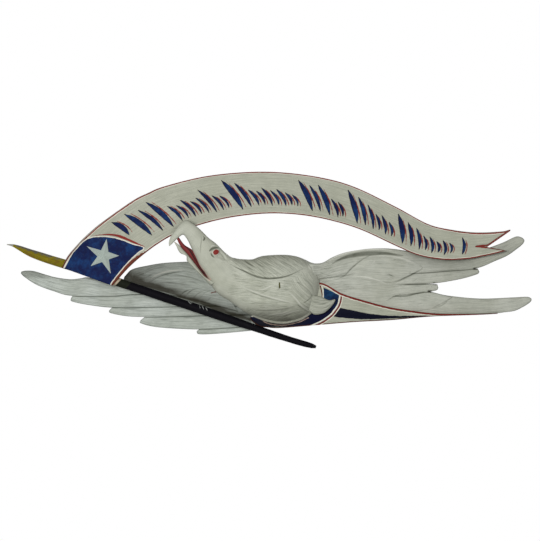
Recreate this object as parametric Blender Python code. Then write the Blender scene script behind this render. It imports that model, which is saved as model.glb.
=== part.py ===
"""Pilot house eagle: a flat-backed, painted wood carving that hangs on a wall.

+X runs along the spread wings to the viewer's right, +Z is up, and the wall is the plane y = 0 with the
carving in front of it, at negative y. The origin is on the flat back of the body. Lengths in this file are
millimetres until mesh_object turns them into metres, and "depth" is how far a point stands out from the wall.
"""

import math

import bmesh
import bpy
import numpy as np
from mathutils.bvhtree import BVHTree

MM = 0.001
GAP = 0.4  # between touching pieces
SMOOTH_UP_TO = math.radians(32)

# Wings: boards with flat backs, thick where they join the body and thin at the feather tips.
LEFT_ROOT_X, LEFT_TIP_X = -60.0, -580.0
RIGHT_ROOT_X, RIGHT_TIP_X = 88.0, 609.0
ROOT_THICK = 26.0
TIP_THICK = 9.0
FEATHER_STEP = 1.3  # a feather one level lower lies this much deeper
EDGE_DROP = 3.0  # how far a feather's rim falls away
EDGE_SHARE = 0.14  # the rim's share of the feather's width
FEATHER_CROWN = 1.6
FEATHER_ROWS = 15
TIP_BUNCHING = 1.35  # above 1, rows lie closer together at the feather tips

# Pennant: a board that leans from the staff at its hoist back to the wing at its fly.
PENNANT_THICK = 14.0
PENNANT_HOIST_Y = -44.0
PENNANT_FLY_Y = -24.0
PENNANT_LEAN_FROM_X = -180.0
PENNANT_LEAN_TO_X = 380.0
PENNANT_EDGE_DROP = 1.5
PENNANT_ROWS = 26
STAR_CENTRE = (-386.0, 79.0)
STAR_RADIUS = 40.0
STAR_INNER_RADIUS = 16.5
STAR_RISE = 3.0
STAR_TURN = math.radians(80)  # the direction of its first point

# Staff: round, with a four-sided spear point.
STAFF_RADIUS = 10.0
STAFF_Y = -(ROOT_THICK + STAFF_RADIUS + 2 * GAP)
STAFF_AXIS = ((-481, 62), (-164, -43.5), (30, -109), (107, -132.5))
STAFF_TAPER = ((-110, -28, 30, 80, 98, 107), (1, 0.82, 0.72, 0.68, 0.56, 0.3))  # at x, share of the radius
STAFF_ROWS = 17
STAFF_SIDES = 16
SPEAR_AXIS = ((-611, 104.5), (-597, 100.5), (-572, 93), (-541, 82), (-510, 70), (-475, 59.5))
SPEAR_HALF_WIDTHS = (3.0, 7.0, 9.6, 10.4, 10.8, 11.0)
SPEAR_DEPTH_SHARE = 0.75

# Shield: convex, lying on its side. Each pair runs from the end under the bird to the point.
SHIELD_LEFT_X = -43.0
SHIELD_LENGTH = 573.0
SHIELD_EDGE_THICK = (31.0, 14.0)
SHIELD_CROWN = (11.0, 5.0)
SHIELD_ROWS = 22

# Body. A rib is (lower x, lower z, upper x, upper z, middle y, front depth, back depth, squareness of the
# back), and its back is cut off flat at the wall.
BODY_RIBS = (
    (-233, 101.5, -234, 103.5, -68, 2, 2, 1),
    (-227, 107, -234, 112, -69, 4.5, 4.5, 1),
    (-217, 117, -229, 126, -70, 8, 8, 1),
    (-209, 124, -222, 135, -71, 10.5, 10.5, 1),
    (-201, 128, -213, 148, -71.5, 12.5, 13, 1),
    (-195, 122, -203, 158, -72, 14.5, 15, 1),
    (-190, 114, -192, 162, -72, 16, 17, 1),
    (-185, 104, -178, 154, -72, 17.5, 18, 1),
    (-181, 95, -159, 138, -72, 19.5, 20, 1),
    (-172, 77, -142, 121, -72, 21.5, 27, 0.8),
    (-161, 54, -125, 108, -71, 23, 50, 0.5),
    (-150, 39, -106, 89, -68, 24, 85, 0.4),
    (-138, 16, -91, 77, -62, 27, 78, 0.3),
    (-126, -3, -79, 72, -56, 32, 70, 0.3),
    (-111, -15, -63, 70, -51, 36, 64, 0.3),
    (-96, -24, -40, 70, -47, 39, 60, 0.3),
    (-77, -38, -20, 77, -44, 42, 56, 0.3),
    (-47, -58, 2, 80, -42, 44, 54, 0.3),
    (-7, -72, 31, 81, -42, 45, 54, 0.3),
    (30, -76, 53, 79, -42, 44, 54, 0.3),
    (67, -69, 76, 73, -42, 41, 54, 0.3),
    (88, -59, 93, 65, -41, 36, 52, 0.3),
    (103, -47, 107, 58, -40, 29, 50, 0.35),
    (113, -22, 115, 32, -38, 18, 46, 0.5),
)
BODY_RIB_POINTS = 20
JAW_RIBS = (
    (-222, 111, -221, 112.5, -70, 2, 2, 1),
    (-216.5, 101, -210, 104, -70, 5, 5, 1),
    (-212, 91, -201, 94, -70, 8, 8, 1),
    (-206, 84.5, -192, 84.5, -70, 10, 10, 1),
    (-194, 79, -182, 72, -70, 12, 16, 1),
    (-192, 67, -174, 62, -69, 14, 46, 0.6),
    (-178, 52, -162, 46, -67, 16, 55, 0.4),
    (-161, 35, -147, 29, -65, 18, 60, 0.3),
    (-139, 11, -124, 20, -62, 20, 60, 0.3),
)
TONGUE_RIBS = (
    (-216, 119, -213, 123, -70, 2.5, 2.5, 1),
    (-208, 102, -198.5, 104, -70, 5, 5, 1),
    (-188, 79, -180, 88, -70, 8, 8, 1),
    (-172, 56, -160, 58, -69, 11, 11, 1),
    (-146, 22, -136, 28, -67, 14, 14, 1),
)
JAW_RIB_POINTS = 12
EYE_AT = (-125.0, 87.0)
EYE_RADIUS = 7.0
TUFT_THICK = (47.0, 52.0)
TUFT_ROWS = 8
LOBE_ROWS = 9

# Raised forms on the body: lower edge, upper edge, rise, and the depth they are rooted at.
LOBES = {
    "shoulder": (
        ((-97, 66), (-76, 51), (-53, 36), (-31, 29), (-5, 26), (24, 30), (58, 42), (78, 50)),
        ((-92, 70), (-63, 66), (-40, 65), (-20, 71), (2, 75), (31, 76), (53, 74), (80, 56)),
        5.0,
        25.0,
    ),
    "thigh": (
        ((-55, -44), (-40, -54), (-7, -66), (30, -70), (67, -63), (100, -42)),
        ((-53, -41), (-9, -48), (35, -44), (69, -32), (104, -16)),
        5.0,
        25.0,
    ),
    "brow": (
        ((-146, 90), (-136, 96), (-124, 97), (-110, 84), (-100, 70)),
        ((-145, 96), (-136, 104), (-124, 104), (-108, 88), (-96, 74)),
        4.0,
        62.0,
    ),
}
TUFT = (
    ((152, -24), (147, -33), (136, -45), (123, -54), (104, -57), (90, -48)),
    ((151, -21), (137, -23.5), (119, -16), (90, -8)),
)

# Feathers: lower edge, upper edge, and how many levels below the wing's face the tip and the root lie.
# Edges run from the tip to the root.
LEFT_FEATHERS = {
    "arm": (
        ((-342, 22), (-300, 8), (-240, -10), (-150, -30), (-75, -50)),
        ((-339, 31), (-321, 48), (-284, 57), (-246, 63), (-191, 66), (-150, 66)),
        (0, 0),
    ),
    "first": (
        ((-581, 39), (-572, 30), (-544, 12), (-504, -3), (-461, -14), (-376, -15), (-290, -10), (-97, -12)),
        ((-579, 43), (-569, 45), (-551, 44), (-527, 37), (-481, 25), (-435, 26), (-300, 10), (-100, 10)),
        (0.6, 0.6),
    ),
    "second": (
        ((-464, -20), (-461, -27), (-423, -35), (-372, -41), (-307, -41), (-180, -38), (-72, -38)),
        ((-459, -12), (-423, -13), (-376, -14), (-290, -9), (-180, -10), (-72, -10)),
        (1.6, 1.6),
    ),
    "third": (
        ((-375, -48), (-371, -54), (-335, -61), (-295, -63), (-242, -63), (-149, -60), (-40, -58)),
        ((-367, -40), (-330, -40), (-242, -39), (-150, -37), (-50, -37)),
        (2.6, 2.6),
    ),
    "fourth": (
        ((-302, -71), (-300, -78), (-260, -87), (-167, -92), (-93, -88), (-22, -82)),
        ((-291, -62), (-242, -62), (-184, -61), (-149, -59), (-22, -57)),
        (3.6, 3.6),
    ),
    "fifth": (
        ((-171, -96), (-165, -103), (-125, -102), (-46, -95), (-24, -91)),
        ((-163, -90), (-125, -87), (-93, -86), (-24, -80)),
        (4.6, 4.6),
    ),
}
RIGHT_FEATHERS = {
    "first": (
        (
            (593, 114), (589, 107), (576, 96), (553, 80), (526, 68), (480, 50), (418, 44), (330, 38),
            (200, 36), (88, 20),
        ),
        (
            (592, 118), (585, 123), (572, 124), (544, 111), (510, 98.5), (476, 90.5), (442, 85), (395, 83),
            (349, 86), (293, 95), (256, 97), (220, 95), (174, 87), (145, 76), (120, 63), (88, 62),
        ),
        (0, 0),
    ),
    "second": (
        ((488, 42), (481, 36), (442, 25), (381, 15), (325, 13), (280, 4), (200, 0), (88, -10)),
        ((484, 50), (418, 45), (330, 39), (200, 37), (88, 21)),
        (1, 1),
    ),
    "third": (
        ((392, 6), (389, 0), (374, -4), (338, -9), (294, -14), (262, -27), (180, -30), (88, -30)),
        ((390, 11), (384, 13.5), (325, 14), (285, 12), (241, 21), (184, 31), (140, 26), (88, 24)),
        (2.2, 0.2),
    ),
    "plume": (
        ((610, -26), (607, -33), (589, -46), (557, -54), (515, -56), (400, -58), (250, -58), (88, -48)),
        (
            (608, -20), (601, -16), (564, -17.5), (489, -20), (414, -13), (371, -4), (338, -8), (294, -13),
            (258, -26), (88, -21),
        ),
        (2.4, 2.4),
    ),
    "plume_cover": (
        ((376, -45), (330, -50), (240, -50), (140, -40)),
        ((427, -17), (371, -5), (338, -9), (294, -14), (140, -24)),
        (0.6, 0.6),
    ),
    "covert": (
        ((352, 46), (288, 18), (241, 21), (216, 28), (184, 31), (160, 27)),
        ((358, 54), (344, 60), (302, 77), (241, 77), (211, 64), (180, 39)),
        (-1.4, -1.4),
    ),
    "leading_edge": (
        ((330, 80), (293, 86), (256, 88), (220, 86), (178, 78), (150, 68), (124, 58)),
        ((332, 88), (293, 94.5), (256, 96.5), (220, 94.5), (174, 86.5), (145, 75.5), (121, 62)),
        (-0.8, -0.8),
    ),
}

PENNANT_TOP = (
    (-480, 51.5), (-470, 79), (-451, 104), (-432, 124.5), (-395, 157), (-321, 207.5), (-284, 225),
    (-246, 240.5), (-155, 263), (-60, 273.5), (30, 273), (125, 260), (200, 238), (293, 193), (367, 153.5),
    (423, 140), (479, 134), (535, 136), (559, 140.5),
)
PENNANT_BOTTOM = (
    (-366, 10), (-321, 59), (-265, 104), (-209, 135), (-135, 159), (-65, 172.5), (5, 178), (75, 174),
    (144, 161), (213, 139.5), (293, 102.5), (345, 80.5), (400, 70.5), (450, 71), (500, 79), (555, 92),
)
TAIL_NOTCH = ((505, 100), (575, 86), (575, 148.5))

SHIELD_BOTTOM = (
    (530, -55.5), (485, -58), (374, -62), (284, -70), (193, -75), (105, -82), (22, -88), (-7, -86),
    (-30, -71), (-43, -60),
)
SHIELD_TOP = (
    (530, -54), (488, -55.5), (395, -55), (328, -48), (274, -39), (221, -25), (167, -8), (117, 17), (60, 0),
    (0, -25), (-40, -56),
)

# Paint: colour and roughness.
FINISHES = {
    "white_paint": ((0.44, 0.46, 0.38), 0.5),
    "banner_paint": ((0.46, 0.46, 0.38), 0.5),
    "shield_paint": ((0.4, 0.4, 0.36), 0.45),
    "black_paint": ((0.012, 0.012, 0.018), 0.4),
}


def clear_scene():
    for old in list(bpy.data.objects):
        bpy.data.objects.remove(old)


def paint(piece, finish):
    colour, roughness = FINISHES[finish]
    made = bpy.data.materials.get(finish) or bpy.data.materials.new(finish)
    made.use_nodes = True
    shader = made.node_tree.nodes["Principled BSDF"]
    shader.inputs["Base Color"].default_value = (*colour, 1.0)
    shader.inputs["Roughness"].default_value = roughness
    shader.inputs["Metallic"].default_value = 0.0
    piece.data.materials.append(made)


def smooth_line(points, count, bunching=1.0):
    """count points along a smooth curve through the given ones, evenly spaced or bunched at its start."""
    p = np.array(points, float)
    ends = np.vstack([2 * p[0] - p[1], p, 2 * p[-1] - p[-2]])
    t = np.linspace(0, 1, 12, endpoint=False)[:, None]
    spans = [
        0.5 * (2 * b + (c - a) * t + (2 * a - 5 * b + 4 * c - d) * t**2 + (3 * b - a - 3 * c + d) * t**3)
        for a, b, c, d in zip(ends, ends[1:], ends[2:], ends[3:])
    ]
    fine = np.vstack([*spans, p[-1:]])
    run = np.concatenate([[0], np.cumsum(np.linalg.norm(np.diff(fine, axis=0), axis=1))])
    at = run[-1] * np.linspace(0, 1, count) ** bunching
    return np.column_stack([np.interp(at, run, fine[:, k]) for k in range(2)])


def mesh_object(bm, name):
    bmesh.ops.scale(bm, vec=(MM, MM, MM), verts=bm.verts)
    mesh = bpy.data.meshes.new(name)
    bm.to_mesh(mesh)
    bm.free()
    mesh.shade_smooth()
    mesh.set_sharp_from_angle(angle=SMOOTH_UP_TO)
    made = bpy.data.objects.new(name, mesh)
    bpy.context.scene.collection.objects.link(made)
    return made


def loft(name, loops):
    """A closed solid through loops of points, capped at both ends."""
    bm = bmesh.new()
    rings = [[bm.verts.new(p) for p in loop] for loop in loops]
    for a, b in zip(rings, rings[1:]):
        for i in range(len(a)):
            j = (i + 1) % len(a)
            bm.faces.new((a[i], a[j], b[j], b[i]))
    bm.faces.new(rings[0])
    bm.faces.new(rings[-1])
    bmesh.ops.recalc_face_normals(bm, faces=bm.faces)
    return mesh_object(bm, name)


def slab(name, lower, upper, rows, depth, back=0.0, grow=0.0, across=(0, EDGE_SHARE, 0.5, 1 - EDGE_SHARE, 1),
         bunching=1.0):
    """A board between two edges that run from its tip to its root.

    depth(x, z, t, s) is its front, with t from the lower edge to the upper one and s from the tip to the root.
    grow enlarges it on every side, so that it can cut its own seat in another piece.
    """
    low = smooth_line(lower, rows, bunching)
    high = smooth_line(upper, rows, bunching)
    wide = high - low
    outward = wide / np.maximum(np.linalg.norm(wide, axis=1), 0.5)[:, None] * grow
    low, high = low - outward, high + outward
    for edge in (low, high):
        for end, inner in ((0, 1), (-1, -2)):
            along = edge[end] - edge[inner]
            edge[end] += along / np.linalg.norm(along) * grow
    loops = []
    for s, a, b in zip(np.linspace(0, 1, rows), low, high):
        front = [(*(a + (b - a) * t), t) for t in across]
        loop = [(x, -depth(x, z, t, s) - grow, z) for x, z, t in front]
        loops.append([*loop, (b[0], grow - back, b[1]), (a[0], grow - back, a[1])])
    return loft(name, loops)


def combine(obj, others, operation):
    """A Boolean of obj with all the others at once. They stay in the scene as hidden helpers."""
    group = bpy.data.collections.new(f"{obj.name} {operation.lower()}")
    for other in others:
        other.hide_render = True
        other.display_type = "WIRE"
        group.objects.link(other)
    step = obj.modifiers.new(operation.lower(), "BOOLEAN")
    step.operation = operation
    step.solver = "EXACT"
    step.operand_type = "COLLECTION"
    step.collection = group
    return obj


def wing_thickness(x):
    root, tip = (LEFT_ROOT_X, LEFT_TIP_X) if x < 0 else (RIGHT_ROOT_X, RIGHT_TIP_X)
    share = min(max((x - tip) / (root - tip), 0), 1)
    return TIP_THICK + (ROOT_THICK - TIP_THICK) * share**0.8


def wing(name, feathers, grow=0.0):
    """Feathers that lie against each other like shingles and share one flat back."""

    def feather(part, lower, upper, levels):
        def depth(x, z, t, s):
            level = levels[0] + (levels[1] - levels[0]) * s
            rim = max(0, 1 - min(t, 1 - t) / EDGE_SHARE)
            crown = FEATHER_CROWN * (1 - (2 * t - 1) ** 2)
            return min(wing_thickness(x) - FEATHER_STEP * level + crown - EDGE_DROP * rim, ROOT_THICK)

        return slab(f"{name}_{part}", lower, upper, FEATHER_ROWS, depth, grow=grow, bunching=TIP_BUNCHING)

    made = [feather(part, *shape) for part, shape in feathers.items()]
    made[0].name = name
    return combine(made[0], made[1:], "UNION")


def pennant_middle(x):
    """The y of the board's middle plane."""
    share = (x - PENNANT_LEAN_FROM_X) / (PENNANT_LEAN_TO_X - PENNANT_LEAN_FROM_X)
    share = min(max(share, 0), 1)
    return PENNANT_HOIST_Y + (PENNANT_FLY_Y - PENNANT_HOIST_Y) * share * share * (3 - 2 * share)


def pennant_board():
    bottom = smooth_line(PENNANT_BOTTOM, PENNANT_ROWS)
    top = smooth_line(PENNANT_TOP, PENNANT_ROWS)
    loops = []
    for a, b in zip(bottom, top):
        loop = []
        for t, drop in ((0, PENNANT_EDGE_DROP), (0.06, 0), (0.5, 0), (0.94, 0), (1, PENNANT_EDGE_DROP)):
            x, z = a + (b - a) * t
            loop.append((x, pennant_middle(x) - PENNANT_THICK / 2 + drop, z))
        for x, z in (b, (a + b) / 2, a):
            loop.append((x, pennant_middle(x) + PENNANT_THICK / 2, z))
        loops.append(loop)
    return loft("pennant", loops)


def tail_notch():
    """The V that is cut out of the fly, right through the board."""
    return loft("tail_notch", [[(x, y, z) for x, z in TAIL_NOTCH] for y in (0, -60)])


def star():
    """A five-pointed star in low relief, its ten facets rising to the centre."""
    x0, z0 = STAR_CENTRE
    face = pennant_middle(x0) - PENNANT_THICK / 2
    bm = bmesh.new()
    rim, root = [], []
    for i in range(10):
        radius = STAR_INNER_RADIUS if i % 2 else STAR_RADIUS
        angle = STAR_TURN + math.pi / 5 * i
        x, z = x0 + radius * math.cos(angle), z0 + radius * math.sin(angle)
        rim.append(bm.verts.new((x, face - 0.4, z)))
        root.append(bm.verts.new((x, face + PENNANT_THICK / 3, z)))
    peak = bm.verts.new((x0, face - STAR_RISE, z0))
    for i in range(10):
        j = (i + 1) % 10
        bm.faces.new((rim[i], rim[j], peak))
        bm.faces.new((rim[i], root[i], root[j], rim[j]))
    bm.faces.new(root)
    bmesh.ops.recalc_face_normals(bm, faces=bm.faces)
    return mesh_object(bm, "star")


def rod(name, line, half_widths, half_depths, sides):
    """A rod along a line in the staff's plane, with its half width and half depth at each point."""
    line = np.array(line, float)
    rings = []
    for (x, z), ahead, wide, deep in zip(line, np.gradient(line, axis=0), half_widths, half_depths):
        side = np.array([-ahead[1], ahead[0]]) / np.linalg.norm(ahead)
        turns = [2 * math.pi * k / sides for k in range(sides)]
        rings.append([
            (x + side[0] * wide * math.cos(a), STAFF_Y - deep * math.sin(a), z + side[1] * wide * math.cos(a))
            for a in turns
        ])
    return loft(name, rings)


def flagstaff(name, grow=0.0):
    line = smooth_line(STAFF_AXIS, STAFF_ROWS)
    radii = STAFF_RADIUS * np.interp(line[:, 0], *STAFF_TAPER) + grow
    widths = np.array(SPEAR_HALF_WIDTHS) + grow
    spear = rod(f"{name}_spear", SPEAR_AXIS, widths, widths * SPEAR_DEPTH_SHARE, 4)
    return combine(rod(name, line, radii, radii, STAFF_SIDES), [spear], "UNION")


def shield(name, grow=0.0):
    def depth(x, z, t, s):
        share = min(max((x - SHIELD_LEFT_X) / SHIELD_LENGTH, 0), 1)
        edge, crown = (a + (b - a) * share for a, b in (SHIELD_EDGE_THICK, SHIELD_CROWN))
        return edge + crown * (1 - abs(2 * t - 1) ** 2.2)

    across = (0, 0.1, 0.3, 0.5, 0.7, 0.9, 1)
    return slab(name, SHIELD_BOTTOM, SHIELD_TOP, SHIELD_ROWS, depth, grow=grow, across=across)


def ribbed(name, ribs, points):
    """A form through rounded sections, each standing on a line from its lower to its upper contour."""
    loops = []
    for low_x, low_z, high_x, high_z, middle, front, behind, square in ribs:
        loop = []
        for k in range(points):
            angle = 2 * math.pi * k / points
            share, rise = 0.5 - 0.5 * math.cos(angle), math.sin(angle)
            y = middle - front * rise if rise >= 0 else middle + behind * abs(rise) ** square
            loop.append((low_x + (high_x - low_x) * share, min(y, 0.0), low_z + (high_z - low_z) * share))
        loops.append(loop)
    return loft(name, loops)


def surface_of(obj):
    """A function of x, z that gives the depth of the object's front there, or 0 beside it."""
    bpy.context.view_layer.update()
    tree = BVHTree.FromObject(obj, bpy.context.evaluated_depsgraph_get())

    def depth(x, z):
        hit = tree.ray_cast((x * MM, -1.0, z * MM), (0, 1, 0))[0]
        return 0.0 if hit is None else -hit.y / MM

    return depth


def lobe(name, surface, lower, upper, rise, root):
    """A raised form that follows the surface under it and runs out at both ends."""

    def depth(x, z, t, s):
        swell = (1 - (2 * t - 1) ** 2) * math.sin(math.pi * s) ** 0.5
        return max(surface(x, z) + rise * (swell - 0.2), root + 2)

    return slab(name, lower, upper, LOBE_ROWS, depth, back=root, across=(0, 0.2, 0.5, 0.8, 1))


def eye(surface):
    bm = bmesh.new()
    bmesh.ops.create_icosphere(bm, subdivisions=2, radius=EYE_RADIUS)
    x, z = EYE_AT
    bmesh.ops.translate(bm, verts=bm.verts, vec=(x, EYE_RADIUS * 0.4 - surface(x, z), z))
    return mesh_object(bm, "eye")


def thigh_tuft():
    def depth(x, z, t, s):
        return TUFT_THICK[0] + (TUFT_THICK[1] - TUFT_THICK[0]) * s

    return slab("thigh_tuft", *TUFT, TUFT_ROWS, depth, back=25.0)


def eagle_body(seats):
    """One carved block: body, neck and head with its jaws and tongue, and the forms that stand up from it."""
    body = ribbed("eagle_body", BODY_RIBS, BODY_RIB_POINTS)
    surface = surface_of(body)
    forms = [
        ribbed("lower_jaw", JAW_RIBS, JAW_RIB_POINTS),
        ribbed("tongue", TONGUE_RIBS, JAW_RIB_POINTS),
        eye(surface),
        thigh_tuft(),
        *(lobe(name, surface, *shape) for name, shape in LOBES.items()),
    ]
    return combine(combine(body, forms, "UNION"), seats, "DIFFERENCE")


def main():
    clear_scene()
    paint(wing("left_wing", LEFT_FEATHERS), "white_paint")
    paint(wing("right_wing", RIGHT_FEATHERS), "white_paint")
    paint(flagstaff("flagstaff"), "black_paint")
    left_seat = wing("left_wing_seat", LEFT_FEATHERS, GAP)
    right_seat = wing("right_wing_seat", RIGHT_FEATHERS, GAP)
    staff_seat = flagstaff("flagstaff_seat", GAP)
    shield_seat = shield("shield_seat", GAP)
    paint(combine(shield("shield"), [left_seat, right_seat, staff_seat], "DIFFERENCE"), "shield_paint")
    paint(eagle_body([left_seat, right_seat, staff_seat, shield_seat]), "white_paint")
    banner = combine(pennant_board(), [star()], "UNION")
    paint(combine(banner, [tail_notch(), right_seat, staff_seat], "DIFFERENCE"), "banner_paint")


if __name__ == "__main__":
    main()
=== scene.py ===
"""Dresses the carved pilot house eagle: the fine relief of its boards and body, its paint, and a plain stage.

+X runs along the wings to the viewer's right, +Z is up and the wall is the plane y = 0. Shapes are worked out in
millimetres, where "depth" is how far a point stands out from the wall, and become metres when they are made.
"""

import math

import bmesh
import bpy
import numpy as np
from bpy.props import FloatProperty, FloatVectorProperty, IntProperty, PointerProperty
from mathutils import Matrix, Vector


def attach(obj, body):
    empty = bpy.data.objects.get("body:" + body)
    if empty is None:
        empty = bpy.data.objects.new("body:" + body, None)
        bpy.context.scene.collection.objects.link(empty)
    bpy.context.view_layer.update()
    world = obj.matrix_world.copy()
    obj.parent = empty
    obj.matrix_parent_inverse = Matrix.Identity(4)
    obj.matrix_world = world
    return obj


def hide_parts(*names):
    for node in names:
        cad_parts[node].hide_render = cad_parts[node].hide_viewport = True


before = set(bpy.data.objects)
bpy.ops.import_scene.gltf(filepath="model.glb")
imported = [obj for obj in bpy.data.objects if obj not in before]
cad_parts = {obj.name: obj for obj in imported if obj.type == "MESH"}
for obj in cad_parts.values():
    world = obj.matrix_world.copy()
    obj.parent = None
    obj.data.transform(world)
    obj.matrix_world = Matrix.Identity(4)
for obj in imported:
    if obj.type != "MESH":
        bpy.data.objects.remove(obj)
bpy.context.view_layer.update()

bl_info = {
    "name": "Pilot House Eagle",
    "version": (1, 0, 0),
    "blender": (4, 5, 0),
    "location": "3D View > Sidebar > Eagle",
    "description": "Carves and paints the pilot house eagle around its solids",
    "category": "Object",
}

MM = 0.001
PICTURE_PIXELS, PIXEL = 540, 2.324  # the photograph's width in pixels, and one pixel in mm
CAMERA_UP = 19.5  # the camera's height in pixels above the part's origin
CAMERA_DISTANCE = 10.0  # in metres, from the plane on which a pixel has that size
SCALE_DEPTH = 0.035  # in metres, from the wall to that plane

# Wings: boards with flat backs, thick where they join the body and thin at the feather tips.
LEFT_ROOT_X, LEFT_TIP_X = -60.0, -580.0
RIGHT_ROOT_X, RIGHT_TIP_X = 88.0, 609.0
ROOT_THICK = 26.0
TIP_THICK = 9.0
TIP_BUNCHING = 1.35  # above 1, points lie closer together at the feather tips
SINK_AT_ROOT = 6  # as a power: a feather keeps its first level until near its end
SEAM_DIRT_AND_SHADE = 1.3  # how much dirt and painted shade lie where one feather meets the next
OPEN_WING_X = (300.0, 350.0)  # where the right wing's seams begin to show
CALM_X = (130.0, 190.0)  # where the right wing's cuts become paler and its paint plainer
CALM_DIRT = 0.75  # the share of the cuts' dirt that is left there
CALM_PAINT = 0.5  # how plain the paint is there
CALM_FROM, CALM_BARBS = 200.0, 0.6  # the barbs are this share as deep from this x on
ROOT_SWELL = 24.0  # how far the right wing's root rises over the body's end, above the shield
ROOT_SWELL_X, ROOT_SWELL_REACH = 100.0, 36.0  # the x where it begins to fade, and how far it takes
SHIELD_CLEARANCE = ((88, 117, 167), (20, 21, -4))  # at x, the z where the swell begins
BACK_INSET, BACK_STEP = 0.9, 0.5  # how far off the wall the first feather's back is, and each next one's

# Feathers: lower edge, upper edge, and how many levels below the wing's face the tip and the root lie.
# Edges run from the tip to the root.
LEFT_FEATHERS = {
    "arm": (
        ((-342, 22), (-300, 8), (-240, -10), (-150, -30), (-75, -50)),
        ((-339, 31), (-321, 48), (-284, 57), (-246, 63), (-191, 66), (-150, 66)),
        (0, 0),
    ),
    "first": (
        ((-581, 39), (-572, 30), (-544, 12), (-504, -3), (-461, -14), (-376, -15), (-290, -10), (-97, -12)),
        (
            (-579, 43), (-569, 45), (-551, 44), (-527, 37), (-500, 29.5), (-466, 25), (-441, 27.2), (-426, 29.6),
            (-400, 24), (-300, 10), (-100, 10),
        ),
        (0.6, 0.6),
    ),
    "second": (
        ((-464, -20), (-461, -27), (-423, -35), (-372, -41), (-307, -41), (-180, -38), (-72, -38)),
        ((-459, -12), (-423, -13), (-376, -14), (-290, -9), (-180, -10), (-72, -10)),
        (1.6, 1.6),
    ),
    "third": (
        ((-375, -48), (-371, -54), (-335, -61), (-295, -63), (-242, -63), (-149, -60), (-40, -58)),
        ((-367, -40), (-330, -40), (-242, -39), (-150, -37), (-50, -37)),
        (2.6, 2.6),
    ),
    "fourth": (
        ((-302, -71), (-300, -78), (-260, -87), (-167, -92), (-93, -88), (-22, -82)),
        ((-291, -62), (-242, -62), (-184, -61), (-149, -59), (-22, -57)),
        (3.6, 3.6),
    ),
    "fifth": (
        ((-171, -96), (-165, -103), (-125, -102), (-46, -95), (-24, -91)),
        ((-163, -90), (-125, -87), (-93, -86), (-24, -80)),
        (4.6, 4.6),
    ),
}
RIGHT_FEATHERS = {
    "first": (
        (
            (593, 114), (589, 107), (576, 96), (553, 80), (526, 68), (480, 50), (418, 44), (330, 38),
            (200, 36), (88, 20),
        ),
        (
            (592, 118), (585, 123), (572, 124), (544, 111), (510, 98.5), (476, 90.5), (442, 85), (395, 83),
            (349, 86), (293, 95), (256, 97), (220, 95), (174, 87), (145, 76), (120, 63), (88, 62),
        ),
        (0, 0),
    ),
    "second": (
        ((488, 42), (481, 36), (442, 25), (381, 15), (325, 13), (280, 4), (200, 0), (88, -10)),
        ((484, 50), (418, 45), (330, 39), (200, 37), (88, 21)),
        (1, 1),
    ),
    "third": (
        ((392, 6), (389, 0), (374, -4), (338, -9), (294, -14), (262, -27), (180, -30), (88, -30)),
        ((390, 11), (384, 13.5), (325, 14), (285, 12), (241, 21), (184, 31), (140, 26), (88, 24)),
        (2.2, 0.2),
    ),
    "plume": (
        ((610, -24), (605, -30), (591, -39), (571, -48.5), (548, -52), (515, -55), (400, -58), (250, -58), (88, -48)),
        (
            (609, -19.5), (599, -16), (564, -17.5), (489, -20), (414, -13), (371, -4), (338, -8), (294, -13),
            (258, -26), (88, -21),
        ),
        (2.4, 2.4),
    ),
    "plume_cover": (
        ((376, -45), (330, -50), (240, -50), (140, -40)),
        ((427, -17), (371, -5), (338, -9), (294, -14), (140, -24)),
        (1.2, 4),
    ),
    "covert": (
        ((352, 46), (288, 18), (241, 21), (216, 28), (184, 31), (160, 27)),
        ((358, 54), (344, 60), (302, 77), (241, 77), (211, 64), (180, 39)),
        (-1.0, 4),
    ),
}

# Cuts in a face: the line, how wide and how deep it is. A negative depth is a ridge.
LEFT_WING_CUTS = (
    (((-283, 20), (-267, 33), (-243, 42), (-215, 46), (-192, 47.5)), 4.5, -1.8),
    (((-283, 15), (-264, 28), (-240, 37), (-215, 41.5), (-190, 43)), 4, 1.0),
    (((-211, -18), (-204, -8), (-192, -1), (-178, 3)), 3, 0.9),
    (((-197, -16), (-189, -6), (-178, 1), (-164, 4)), 3, 1.0),
    (((-182, -24), (-170, -10), (-156, -3), (-140, 2)), 3, 0.8),
    (((-163, -20), (-153, -8), (-142, -2), (-128, 2)), 3, 0.7),
    (((-148, -28), (-136, -16), (-120, -10)), 3, 0.6),
    (((-325, 28), (-300, 36), (-270, 49), (-240, 55)), 4, 0.7),
    (((-318, 34), (-295, 43), (-270, 54), (-245, 59)), 4, 0.6),
    (((-310, 22), (-290, 28), (-262, 44)), 4, 0.6),
    (((-250, 30), (-215, 33), (-180, 28), (-150, 16)), 4, 0.7),
    (((-262, 22), (-222, 26), (-185, 20), (-155, 8)), 4, 0.6),
    (((-275, 12), (-235, 17), (-195, 12), (-165, 2)), 4, 0.6),
    (((-230, 54), (-200, 54), (-170, 48), (-146, 36)), 4, 0.7),
    (((-225, 60), (-195, 60), (-165, 56)), 4, 0.5),
)
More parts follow.
